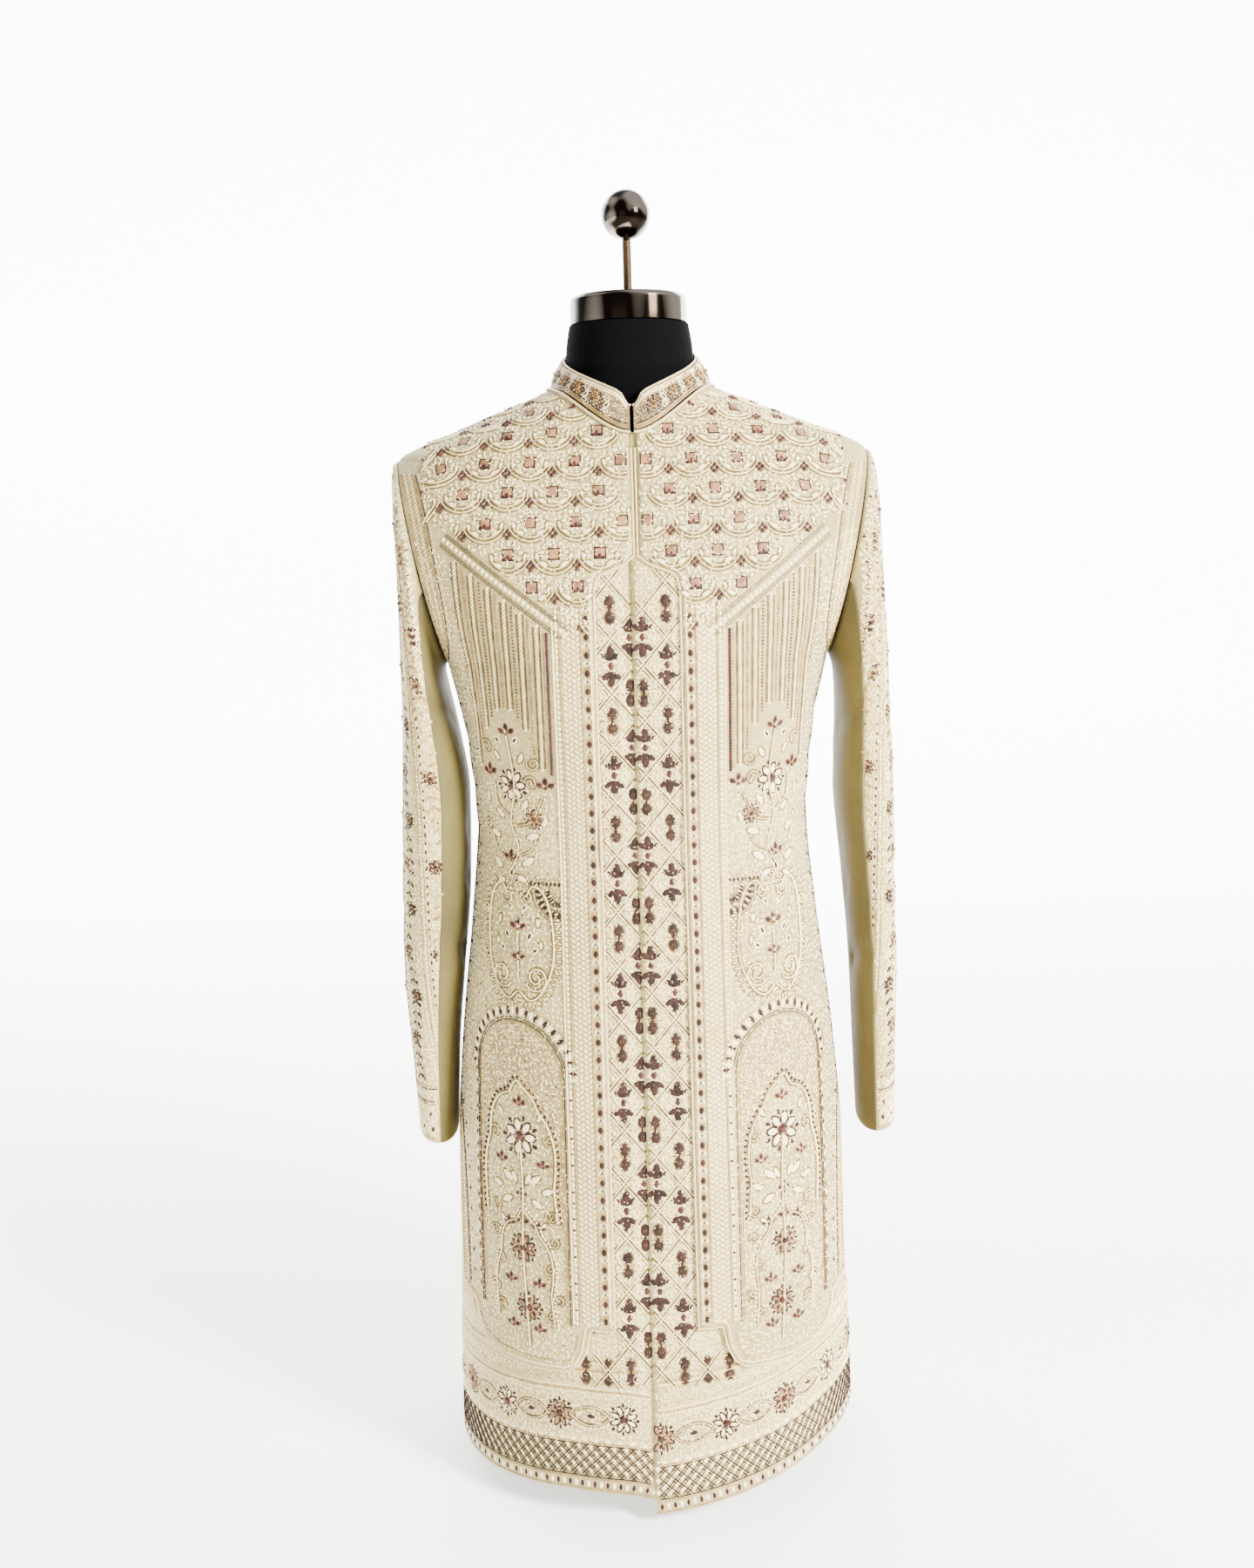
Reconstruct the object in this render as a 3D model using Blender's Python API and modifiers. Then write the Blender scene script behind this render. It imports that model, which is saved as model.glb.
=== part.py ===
"""An embroidered sherwani coat standing on a limbless dress form.

Metres, +Z up. The front faces -Y, and the form's axis is the Z axis. The floor is at height 0.

Every cloth piece lies on one body surface, which is read from a table of level sections. A point
on it has a side (-1 or 1), a height and a turn: 0 at the centre front, 1 at the side seam and
shoulder seam, 2 at the centre back. A wall is a grid laid on that surface and extruded along the
surface's own normals, so that the walls on both sides of a seam meet squarely.
"""
import math
from collections import namedtuple

import bmesh
import bpy
from mathutils import Vector

QUARTER = math.pi / 2
SIDES = ((-1, "left"), (1, "right"))

# Walls and gaps
COAT_WALL = 0.0020
OVER_WALL = 0.0020
SLEEVE_WALL = 0.0020
COLLAR_WALL = 0.0025
SEAM_TURN = 0.0008      # half a side or shoulder seam's gap, as a turn
BACK_SEAM = 0.0002      # half the centre-back seam's gap
ARMHOLE_GAP = 0.0012
PIPING_RADIUS = 0.0012
CLEAR = 0.0004

# The outer face of the full-length coat, by level sections. Between the armhole's bottom and top
# the half-width follows from the armhole instead. Above the neckline the rows are the form's neck.
Section = namedtuple("Section", "height half_width front back power")
BODY = (
    Section(0.0120, 0.2165, 0.2030, 0.1930, 2.10),
    Section(0.1500, 0.2137, 0.1900, 0.1820, 2.10),
    Section(0.3300, 0.2045, 0.1700, 0.1660, 2.15),
    Section(0.4700, 0.1925, 0.1530, 0.1520, 2.20),
    Section(0.6000, 0.1770, 0.1360, 0.1300, 2.20),
    Section(0.6900, 0.1695, 0.1240, 0.1090, 2.20),
    Section(0.7800, 0.1765, 0.1300, 0.1110, 2.25),
    Section(0.8620, 0.1930, 0.1380, 0.1210, 2.30),
    Section(0.9500, 0.2200, 0.1345, 0.1260, 2.30),
    Section(1.0000, 0.2300, 0.1210, 0.1180, 2.20),
    Section(1.0400, 0.2340, 0.1060, 0.1050, 2.10),
    Section(1.0630, 0.2359, 0.0975, 0.0960, 2.00),
    Section(1.0763, 0.2140, 0.0925, 0.0905, 1.95),
    Section(1.0912, 0.1720, 0.0870, 0.0840, 1.88),
    Section(1.1125, 0.1200, 0.0775, 0.0740, 1.88),
    Section(1.1217, 0.0974, 0.0735, 0.0705, 1.95),
    Section(1.1295, 0.0810, 0.0700, 0.0685, 2.00),
    Section(1.1500, 0.0655, 0.0650, 0.0645, 2.00),
    Section(1.1700, 0.0642, 0.0640, 0.0640, 2.00),
    Section(1.1935, 0.0605, 0.0605, 0.0605, 2.00),
)

# The armhole lies in a plane that leans outwards as it rises
ARM_BOTTOM = 0.862
ARM_TOP = 1.063
ARM_X_BOTTOM = 0.1930
ARM_X_TOP = 0.2359
ARM_HALF_DEPTH = 0.0755
ARM_MIDDLE = (ARM_BOTTOM + ARM_TOP) / 2
ARM_HALF_HEIGHT = (ARM_TOP - ARM_BOTTOM) / 2

# The neckline in plan, and the shoulder's neck point
NECK_HALF_WIDTH = 0.0810
NECK_FRONT = 0.0900
NECK_BACK = 0.0700
NECK_POINT_HEIGHT = 1.1295
NECK_STEPS = 24
TILT_START = 1.000      # above this the rows lean to meet the neckline

# Rows shared by the walls that lie on each other, and the columns of the coat's own walls
SKIRT_LEVELS = [0.300, 0.370, 0.440, 0.510, 0.580, 0.650, 0.720, 0.790]
CHEST_LEVELS = [0.862, 0.868, 0.882, 0.905, 0.933, 0.9595, 0.990, 1.020, 1.043, 1.056]
SHOULDER_LEVELS = [1.063, 1.0695, 1.0763, 1.0835, 1.0912, 1.104, 1.117, NECK_POINT_HEIGHT]
NOTCH_LEVELS = [0.944, 0.9495, 0.966]
COAT_COLUMNS = (0.0, 0.055, 0.135, 0.22, 0.32, 0.43, 0.51, 0.59, 0.66, 0.72, 0.808, 0.87, 0.935, 1.0)
BACK_COLUMNS = 10

# Hem of the full-length coat, by turn. The right front hangs low at its corner, high at its side
CoatHem = namedtuple("CoatHem", "turn left right")
COAT_HEM = (
    CoatHem(0.00, 0.0260, 0.0130),
    CoatHem(0.10, 0.0330, 0.0180),
    CoatHem(0.22, 0.0335, 0.0240),
    CoatHem(0.40, 0.0295, 0.0330),
    CoatHem(0.60, 0.0245, 0.0430),
    CoatHem(0.80, 0.0220, 0.0460),
    CoatHem(1.00, 0.0220, 0.0440),
    CoatHem(1.50, 0.0220, 0.0300),
    CoatHem(2.00, 0.0220, 0.0220),
)
HEM_HEIGHT = 0.0220
LAP_EDGE = 0.0050       # the right front laps this far over the centre
LAP_UNDER = 0.0200      # the left front runs this far under it
LAP_SINK_START = 0.0350
LAP_SINK_END = 0.0080
HEM_BLEND = 0.30        # below this the rows lean to meet a panel's own hem

# Soft flutes of the skirt, at the sides and back
FLUTE_DEPTH = 0.0060
FLUTE_TOP = 0.560
FLUTE_COUNT = 2
FLUTE_START_TURN = 0.80

# The cutaway over-panel: half the gap between its two front edges, by height
Edge = namedtuple("Edge", "height half_gap")
OVER_EDGE = (
    Edge(0.1500, 0.0428),
    Edge(0.9330, 0.0428),
    Edge(0.9440, 0.0405),
    Edge(0.9495, 0.0360),
    Edge(0.9595, 0.0115),
    Edge(0.9660, 0.0035),
    Edge(1.1000, 0.0035),
)
# Its bottom edge, by distance from the centre: a level end, the rounded tongue, the side vent
Hem = namedtuple("Hem", "across height")
OVER_HEM = (
    Hem(0.0400, 0.2030),
    Hem(0.0670, 0.2030),
    Hem(0.0715, 0.1780),
    Hem(0.0800, 0.1620),
    Hem(0.0920, 0.1570),
    Hem(0.1300, 0.1555),
    Hem(0.1560, 0.1580),
    Hem(0.1730, 0.1660),
    Hem(0.1805, 0.1800),
    Hem(0.1835, 0.1975),
    Hem(0.2100, 0.1960),
)
OVER_SIDE_X = 0.1985    # where the skirt is wider than this, the side vent stands open
OVER_COLUMNS = (0.0, 0.055, 0.11, 0.135, 0.17, 0.22, 0.32, 0.43, 0.51, 0.59,
                0.66, 0.72, 0.787, 0.808, 0.87, 0.935, 1.0)
# How far the over-panel's inner face stands off the coat, by height
StandOff = namedtuple("StandOff", "height off")
OVER_STAND_OFF = (
    StandOff(0.1500, 0.0036),
    StandOff(0.4700, 0.0026),
    StandOff(0.6900, 0.0018),
    StandOff(0.9000, 0.0015),
    StandOff(1.0000, 0.0012),
    StandOff(1.1300, 0.0012),
)

# Sleeve rings: the outer and the inner point of each and its half-depth front to back. The left
# sleeve hangs close to the body, and the right one stands away from it
Ring = namedtuple("Ring", "outer_left inner_left outer_right inner_right outer_z inner_z"
                          " half_depth centre_y power")
SLEEVE_RINGS = (
    Ring(0.2433, 0.2005, 0.2435, 0.2005, 1.0610, 0.8545, 0.0800, 0.000, 2.05),
    Ring(0.2440, 0.2022, 0.2470, 0.2022, 1.0420, 0.8500, 0.0812, 0.000, 2.10),
    Ring(0.2440, 0.2022, 0.2500, 0.2042, 1.0080, 0.8445, 0.0820, 0.000, 2.15),
    Ring(0.2433, 0.2018, 0.2520, 0.2058, 0.9600, 0.8370, 0.0822, 0.000, 2.20),
    Ring(0.2432, 0.1990, 0.2550, 0.2069, 0.9050, 0.8250, 0.0818, -0.001, 2.25),
    Ring(0.2440, 0.1925, 0.2580, 0.2075, 0.8300, 0.7980, 0.0800, -0.002, 2.30),
    Ring(0.2483, 0.1812, 0.2623, 0.2045, 0.7300, 0.7220, 0.0755, -0.004, 2.35),
    Ring(0.2532, 0.1840, 0.2635, 0.2120, 0.6300, 0.6270, 0.0710, -0.006, 2.35),
    Ring(0.2553, 0.1938, 0.2648, 0.2190, 0.5340, 0.5320, 0.0660, -0.009, 2.30),
    Ring(0.2508, 0.2022, 0.2630, 0.2215, 0.4550, 0.4530, 0.0610, -0.012, 2.25),
    Ring(0.2458, 0.2075, 0.2620, 0.2245, 0.3640, 0.3560, 0.0555, -0.016, 2.20),
)
SLEEVE_SEAM = math.radians(106)             # from the sleeve's outer line to its two seams
SLEEVE_SEAM_GAP = 0.004                     # half the gap, as an angle
SLEEVE_ANGLE_STEP = 0.05
SLEEVE_TOP_COLUMNS = 13
SLEEVE_UNDER_COLUMNS = 13
HEAD_LIFT_FRONT = 0.0036    # the sleeve head stands level with the over-panel in front
HEAD_LIFT_BACK = 0.0012
HEAD_BLEND = math.radians(30)

# The collar: the top edge's height by angle from the centre front
Rim = namedtuple("Rim", "degrees height")
COLLAR_EDGE = (
    Rim(0.0, 1.1085),
    Rim(3.0, 1.1095),
    Rim(6.0, 1.1145),
    Rim(9.0, 1.1205),
    Rim(13.0, 1.1238),
    Rim(24.0, 1.1298),
    Rim(41.0, 1.1385),
    Rim(60.0, 1.1475),
    Rim(85.0, 1.1585),
    Rim(107.0, 1.1665),
    Rim(140.0, 1.1710),
    Rim(180.0, 1.1720),
)
COLLAR_ANGLES = (1.2, 3.5, 6, 9, 13, 20, 30, 41, 52, 64, 76, 88, 100, 114, 130, 147, 164, 180)
COLLAR_TOP_HALF_WIDTH = 0.0690
COLLAR_TOP_FRONT = 0.0810
COLLAR_TOP_BACK = 0.0685
COLLAR_ROWS = 3
COLLAR_BULGE = 0.0010
COLLAR_LIFT_FRONT = 0.0037
COLLAR_LIFT_BACK = 0.0005
COLLAR_BASE_GAP = 0.0018
BASE_PIPING_LIFT = 0.0006

# The dress form under the coat
FORM_BOTTOM = 0.450
FORM_AROUND = 24
FORM_LEVELS = (0.450, 0.470, 0.520, 0.570, 0.630, 0.690, 0.750, 0.810, 0.862, 0.900, 0.940, 0.980,
               1.020, 1.050, 1.063, 1.0763, 1.0912, 1.104, 1.117, 1.1295, 1.140, 1.150, 1.170, 1.1935)
# How far its surface lies inside the coat's outer face
Inset = namedtuple("Inset", "height inset")
FORM_INSET = (
    Inset(0.4500, 0.0140),
    Inset(0.6900, 0.0100),
    Inset(0.8620, 0.0140),
    Inset(0.9500, 0.0180),
    Inset(1.0200, 0.0100),
    Inset(1.0600, 0.0046),
    Inset(1.0763, 0.0034),
    Inset(1.1295, 0.0034),
    Inset(1.1500, 0.0000),
    Inset(1.2000, 0.0000),
)
FORM_FRONT_INSET = 0.0028   # more at the centre front, behind the lap of the two fronts
FORM_ARM_INSET = 0.0200     # the form's flat shoulder end lies this far inside the armhole

CAP_RADIUS = 0.0592
CAP_BOTTOM = 1.1939
CAP_TOP = 1.2225
CAP_ROUND = 0.0060
ROD_RADIUS = 0.0046
BALL_RADIUS = 0.0246
BALL_CENTRE = 1.3014
ROD_TOP = BALL_CENTRE - BALL_RADIUS - 0.0003
POLE_RADIUS = 0.0160
BASE_RADIUS = 0.1400
BASE_HEIGHT = 0.0110
BASE_ROUND = 0.0030

Look = namedtuple("Look", "color roughness metallic")
LOOKS = {
    "ivory cloth": Look((0.80, 0.71, 0.57), 0.70, 0.0),
    "gold embroidery": Look((0.70, 0.55, 0.38), 0.55, 0.1),
    "gold piping": Look((0.74, 0.60, 0.40), 0.45, 0.3),
    "plain pistachio cloth": Look((0.62, 0.58, 0.43), 0.75, 0.0),
    "black form cloth": Look((0.02, 0.02, 0.022), 0.85, 0.0),
    "polished steel": Look((0.75, 0.75, 0.76), 0.15, 1.0),
    "brass rod": Look((0.30, 0.22, 0.15), 0.40, 1.0),
    "black enamel": Look((0.03, 0.03, 0.03), 0.40, 0.0),
}


def clamp(value, low=0.0, high=1.0):
    return max(low, min(high, value))


def smooth(value):
    value = clamp(value)
    return value * value * (3 - 2 * value)


def blend(start, end, share):
    return start + (end - start) * share


def straight(rows, column, at):
    """A table's column at a key (its first column), with straight stretches between rows."""
    for low, high in zip(rows, rows[1:]):
        if at <= high[0]:
            share = clamp((at - low[0]) / (high[0] - low[0]))
            return blend(getattr(low, column), getattr(high, column), share)
    return getattr(rows[-1], column)


def slope(rows, column, index):
    """The slope at one row that keeps the curve through a table's column monotone."""
    def step(k):
        rise = getattr(rows[k + 1], column) - getattr(rows[k], column)
        return rise / (rows[k + 1][0] - rows[k][0])
    if index == 0:
        return step(0)
    if index == len(rows) - 1:
        return step(index - 1)
    before, after = step(index - 1), step(index)
    if before * after <= 0:
        return 0.0
    return 2 * before * after / (before + after)


def curved(rows, column, at):
    """A table's column at a key, on a smooth curve through the rows."""
    at = clamp(at, rows[0][0], rows[-1][0])
    index = 0
    while index < len(rows) - 2 and at > rows[index + 1][0]:
        index += 1
    low, high = rows[index], rows[index + 1]
    span = high[0] - low[0]
    s = (at - low[0]) / span
    start, end = getattr(low, column), getattr(high, column)
    start_slope = slope(rows, column, index) * span
    end_slope = slope(rows, column, index + 1) * span
    return (start * (1 + 2 * s) * (1 - s) ** 2 + start_slope * s * (1 - s) ** 2
            + end * s * s * (3 - 2 * s) + end_slope * s * s * (s - 1))


def armhole_x(height):
    """How far out the armhole's plane lies at a height."""
    share = (height - ARM_BOTTOM) / (ARM_TOP - ARM_BOTTOM)
    return blend(ARM_X_BOTTOM, ARM_X_TOP, share)


def half_width(height):
    """The body section's half-width. Beside the armhole the section passes through its edge."""
    if not ARM_BOTTOM < height < ARM_TOP:
        return curved(BODY, "half_width", height)
    rise = (height - ARM_MIDDLE) / ARM_HALF_HEIGHT
    power = curved(BODY, "power", height)
    depth = ARM_HALF_DEPTH * math.sqrt(1 - rise * rise) / curved(BODY, "front", height)
    return armhole_x(height) / (1 - depth ** power) ** (1 / power)


def body_point(side, height, turn):
    """A point of the body surface."""
    reach = 2 / curved(BODY, "power", height)
    sine, cosine = math.sin(turn * QUARTER), math.cos(turn * QUARTER)
    depth = curved(BODY, "front" if cosine > 0 else "back", height)
    across = half_width(height) * math.copysign(abs(sine) ** reach, sine)
    along = depth * math.copysign(abs(cosine) ** reach, cosine)
    point = Vector((side * across, -along, height))
    flute = FLUTE_DEPTH * smooth((FLUTE_TOP - height) / FLUTE_TOP)
    flute *= smooth((turn - FLUTE_START_TURN) / (1 - FLUTE_START_TURN))
    outward = Vector((point.x, point.y, 0)).normalized()
    return point - outward * flute * math.cos(2 * math.pi * FLUTE_COUNT * turn)


def body_normal(side, height, turn):
    """The outward normal of the body surface."""
    turn_step, height_step = 0.01, 0.002
    around = body_point(side, height, turn + turn_step) - body_point(side, height, turn - turn_step)
    low = max(height - height_step, BODY[0].height)
    up = body_point(side, height + height_step, turn) - body_point(side, low, turn)
    return (around.cross(up) * side).normalized()


def lifted(side, height, turn, lift):
    """A point that stands off the body surface."""
    return body_point(side, height, turn) + body_normal(side, height, turn) * lift


def turn_at(across, height):
    """The turn, on the front, of a point at a distance from the centre."""
    share = abs(across) / half_width(height)
    turn = math.asin(min(1.0, share ** (curved(BODY, "power", height) / 2))) / QUARTER
    return math.copysign(turn, across)


def height_over(across, along):
    """The body surface's height over a plan point near the neck."""
    low, high = TILT_START, 1.16
    for _ in range(40):
        middle = (low + high) / 2
        depth = curved(BODY, "front" if along < 0 else "back", middle)
        power = curved(BODY, "power", middle)
        if (across / half_width(middle)) ** power + (abs(along) / depth) ** power < 1:
            low = middle
        else:
            high = middle
    return low


def neck_row(angle):
    """The neckline's turn and height at a plan angle from the centre front."""
    across = NECK_HALF_WIDTH * math.sin(angle)
    cosine = math.cos(angle)
    along = -cosine * (NECK_FRONT if cosine > 0 else NECK_BACK)
    height = height_over(across, along)
    turn = turn_at(across, height)
    return NeckRow(turn if cosine > 0 else 2 - turn, height)


NeckRow = namedtuple("NeckRow", "turn height")
NECKLINE = tuple(neck_row(math.pi * k / NECK_STEPS) for k in range(NECK_STEPS + 1))


def armhole_turn(height):
    """The turn, on the front, of the armhole's edge, or the side seam's beyond it."""
    if not ARM_BOTTOM < height < ARM_TOP:
        return 1 - SEAM_TURN
    return min(turn_at(armhole_x(height), height), 1 - SEAM_TURN)


def row_height(level, levels, turn, hem):
    """A row's height at a turn, leaning to meet the hem below and the neckline above."""
    if level < HEM_BLEND:
        share = (level - levels[0]) / (HEM_BLEND - levels[0])
        return blend(hem, HEM_BLEND, share)
    if level > TILT_START:
        share = (level - TILT_START) / (NECK_POINT_HEIGHT - TILT_START)
        return blend(TILT_START, straight(NECKLINE, "height", turn), share)
    return level


def coat_hem(side, turn):
    """The height of the full-length coat's hem."""
    return curved(COAT_HEM, "left" if side < 0 else "right", abs(turn))


def front_edge(side, height):
    """The turn of a coat front's centre edge."""
    return turn_at(-LAP_EDGE if side > 0 else -LAP_UNDER, height)


def lap_sink(side, across):
    """How far the left front sinks where the right one laps over it."""
    if side > 0:
        return 0.0
    share = (LAP_SINK_START - side * across) / (LAP_SINK_START - LAP_SINK_END)
    return -(COAT_WALL + CLEAR) * smooth(share)


def side_turn(height):
    """The turn of an over-panel's side edge. Its vent opens below the waist."""
    if height > ARM_BOTTOM:
        return armhole_turn(height)
    return min(1 - SEAM_TURN, turn_at(OVER_SIDE_X, height))


def material(name):
    """The material of one of the looks."""
    if name in bpy.data.materials:
        return bpy.data.materials[name]
    look = LOOKS[name]
    made = bpy.data.materials.new(name)
    made.use_nodes = True
    shader = made.node_tree.nodes["Principled BSDF"]
    shader.inputs["Base Color"].default_value = (*look.color, 1.0)
    shader.inputs["Roughness"].default_value = look.roughness
    shader.inputs["Metallic"].default_value = look.metallic
    return made


def add_object(name, data, look):
    """A new object of the part, with its material."""
    made = bpy.data.objects.new(name, data)
    bpy.data.collections["sherwani_coat"].objects.link(made)
    data.materials.append(material(look))
    return made


def cloth_wall(name, look, columns, rows, wall, place):
    """A wall between two grids. place(column, row, depth) gives a point at a depth under the
    outer face, from 0 to the wall's thickness."""
    mesh = bpy.data.meshes.new(name)
    grid = bmesh.new()
    bmesh.ops.create_grid(grid, x_segments=columns, y_segments=rows, size=0.5)
    inner = bmesh.ops.extrude_face_region(grid, geom=grid.faces[:], use_keep_orig=True)["geom"]
    inner_verts = {item for item in inner if isinstance(item, bmesh.types.BMVert)}
    for vert in grid.verts:
        column = round((vert.co.x + 0.5) * columns)
        row = round((vert.co.y + 0.5) * rows)
        vert.co = place(column, row, wall if vert in inner_verts else 0.0)
    bmesh.ops.recalc_face_normals(grid, faces=grid.faces)
    if grid.calc_volume(signed=True) < 0:
        bmesh.ops.reverse_faces(grid, faces=grid.faces)
    grid.to_mesh(mesh)
    grid.free()
    mesh.shade_smooth()
    mesh.set_sharp_from_angle(angle=math.radians(50))
    return add_object(name, mesh, look)


def tube(name, look, points, radius):
    """A cord through a list of points."""
    curve = bpy.data.curves.new(name, "CURVE")
    curve.dimensions = "3D"
    curve.bevel_depth = radius
    curve.bevel_resolution = 1
    curve.use_fill_caps = True
    spline = curve.splines.new("POLY")
    spline.points.add(len(points) - 1)
    for point, place in zip(spline.points, points):
        point.co = (*place, 1.0)
    return add_object(name, curve, look)


def turned(name, look, profile, steps):
    """A turned solid from a profile of radius and height, top to bottom."""
    mesh = bpy.data.meshes.new(name)
    outline = bmesh.new()
    verts = [outline.verts.new((radius, 0, height)) for radius, height in profile]
    for start, end in zip(verts, verts[1:]):
        outline.edges.new((start, end))
    outline.to_mesh(mesh)
    outline.free()
    made = add_object(name, mesh, look)
    screw = made.modifiers.new("turn", "SCREW")
    screw.steps = steps
    screw.render_steps = steps
    screw.use_merge_vertices = True
    screw.merge_threshold = 0.00001
    screw.use_smooth_shade = True
    return made


def cylinder(name, look, radius, low, high, sides):
    """An upright cylinder on the form's axis."""
    mesh = bpy.data.meshes.new(name)
    solid = bmesh.new()
    bmesh.ops.create_cone(solid, cap_ends=True, segments=sides, radius1=radius, radius2=radius,
                          depth=high - low)
    solid.to_mesh(mesh)
    solid.free()
    mesh.shade_smooth()
    mesh.set_sharp_from_angle(angle=math.radians(40))
    made = add_object(name, mesh, look)
    made.location.z = (low + high) / 2
    return made


def rounded_rim(radius, height, size, steps):
    """The profile of a rim rounded from a flat top to an upright side, top to bottom."""
    angles = [QUARTER * k / steps for k in range(steps + 1)]
    return [(radius - size + size * math.sin(angle), height - size + size * math.cos(angle))
            for angle in angles]


def make_coat_front(side, label):
    """One full-length front, from the hem to the neckline, shoulder seam and armhole."""
    levels = [HEM_HEIGHT, 0.110, 0.205] + SKIRT_LEVELS + CHEST_LEVELS + SHOULDER_LEVELS
    columns = COAT_COLUMNS

    def place(column, row, depth):
        turn = columns[column]
        for _ in range(4):
            height = row_height(levels[row], levels, turn, coat_hem(side, turn))
            turn = blend(front_edge(side, height), armhole_turn(height), columns[column])
        point = body_point(side, height, turn)
        return lifted(side, height, turn, lap_sink(side, point.x) - depth)
    cloth_wall(f"coat_front_{label}", "ivory cloth", len(columns) - 1, len(levels) - 1,
               COAT_WALL, place)


def make_coat_back(side, label):
    """One back panel, from the side seam to the centre back seam."""
    levels = [HEM_HEIGHT, 0.110, 0.205] + SKIRT_LEVELS + CHEST_LEVELS + SHOULDER_LEVELS
    columns = BACK_COLUMNS

    def place(column, row, depth):
        share = column / columns
        turn = 1 + share
        for _ in range(4):
            height = row_height(levels[row], levels, turn, coat_hem(side, turn))
            turn = blend(2 - armhole_turn(height), 2 - turn_at(BACK_SEAM, height), share)
        return lifted(side, height, turn, -depth)
    cloth_wall(f"coat_back_{label}", "ivory cloth", columns, len(levels) - 1,
               COAT_WALL, place)


def over_point(side, column, level, levels, depth):
    """A point of an over-panel's wall, at a depth under its outer face."""
    turn = column
    for _ in range(6):
        across = body_point(1, 0.2, clamp(turn, 0, 1)).x
        height = row_height(level, levels, turn, straight(OVER_HEM, "height", across))
        edge = turn_at(straight(OVER_EDGE, "half_gap", height), height)
        turn = blend(edge, side_turn(height), column)
    lift = straight(OVER_STAND_OFF, "off", height) + OVER_WALL - depth
    return lifted(side, height, turn, lift)


def over_levels():
    """The over-panel's rows, close together at the notch and round the armhole."""
    levels = {*SKIRT_LEVELS, *CHEST_LEVELS, *NOTCH_LEVELS, *SHOULDER_LEVELS}
    return [0.2000, 0.2250, 0.2600] + sorted(levels)


def make_over_front(side, label):
    """One cutaway over-panel, with its notch, its tongue and its side vent."""
    levels = over_levels()

    def place(column, row, depth):
        return over_point(side, OVER_COLUMNS[column], levels[row], levels, depth)
    cloth_wall(f"over_front_{label}", "gold embroidery", len(OVER_COLUMNS) - 1, len(levels) - 1,
               OVER_WALL, place)


def make_over_piping(side, label):
    """The cord on an over-panel's front edge, bottom edge and side vent."""
    levels = over_levels()
    vent_top = 0.36
    down = [(0.0, level) for level in reversed(levels) if level < 1.117]
    across = [(column, levels[0]) for column in OVER_COLUMNS[1:-2]]
    up = [(1.0, level) for level in levels if level < vent_top]
    stations = down + across + up
    edge = [over_point(side, *station, levels, OVER_WALL / 2) for station in stations]
    runs = [(ahead - behind).normalized() for behind, ahead in zip(edge, edge[1:])]
    points = []
    for index, (point, station) in enumerate(zip(edge, stations)):
        bisector = (runs[max(index - 1, 0)] + runs[min(index, len(runs) - 1)]) / 2
        face = (over_point(side, *station, levels, 0) - over_point(side, *station, levels, OVER_WALL))
        outward = bisector.cross(face).normalized() * side
        mitre = max(bisector.length, 0.5)
        points.append(point + outward * (PIPING_RADIUS + CLEAR) / mitre)
    tube(f"over_piping_{label}", "gold piping", points, PIPING_RADIUS)


def sleeve_point(side, angle, row):
    """A point of a sleeve. The angle runs from its outer line round the front to its inner line.

    Row 0 is the armhole's edge, and the others are the rings of the table.
    """
    cosine, sine = math.cos(angle), math.sin(angle)
    if row == 0:
        height = ARM_MIDDLE + ARM_HALF_HEIGHT * 0.999 * cosine
        turn = armhole_turn(height)
        if sine < 0:
            turn = 2 - turn
        back_share = smooth(-math.remainder(angle, 2 * math.pi) / HEAD_BLEND)
        if cosine < 0:
            back_share = smooth(-sine / math.sin(HEAD_BLEND))
        lift = blend(HEAD_LIFT_FRONT, HEAD_LIFT_BACK, back_share)
        return lifted(side, height, turn, lift) + Vector((side * ARMHOLE_GAP, 0, 0))
    ring = SLEEVE_RINGS[row - 1]
    reach = 2 / ring.power
    cosine = math.copysign(abs(cosine) ** reach, cosine)
    sine = math.copysign(abs(sine) ** reach, sine)
    inner, outer = ring.inner_right, ring.outer_right
    if side < 0:
        inner, outer = ring.inner_left, ring.outer_left
    x = blend(inner, outer, (1 + cosine) / 2)
    z = blend(ring.inner_z, ring.outer_z, (1 + cosine) / 2)
    return Vector((side * x, ring.centre_y - ring.half_depth * sine, z))


def sleeve_wall(side, start, end, columns):
    """The place function of one sleeve piece, between two angles."""
    def place(column, row, depth):
        angle = blend(start, end, column / columns)
        around = (sleeve_point(side, angle + SLEEVE_ANGLE_STEP, row)
                  - sleeve_point(side, angle - SLEEVE_ANGLE_STEP, row))
        along = (sleeve_point(side, angle, min(row + 1, len(SLEEVE_RINGS)))
                 - sleeve_point(side, angle, max(row - 1, 0)))
        normal = around.cross(along).normalized() * side
        return sleeve_point(side, angle, row) - normal * depth
    return place


def make_sleeve(side, label):
    """The embroidered top sleeve and the plain under-sleeve, sewn along two seams."""
    rows = len(SLEEVE_RINGS)
    top_start, top_end = -SLEEVE_SEAM + SLEEVE_SEAM_GAP, SLEEVE_SEAM - SLEEVE_SEAM_GAP
    under_start, under_end = SLEEVE_SEAM + SLEEVE_SEAM_GAP, 2 * math.pi - SLEEVE_SEAM - SLEEVE_SEAM_GAP

    cloth_wall(f"sleeve_top_{label}", "gold embroidery", SLEEVE_TOP_COLUMNS, rows, SLEEVE_WALL,
               sleeve_wall(side, top_start, top_end, SLEEVE_TOP_COLUMNS))
    cloth_wall(f"sleeve_under_{label}", "plain pistachio cloth", SLEEVE_UNDER_COLUMNS, rows,
               SLEEVE_WALL, sleeve_wall(side, under_start, under_end, SLEEVE_UNDER_COLUMNS))


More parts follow.
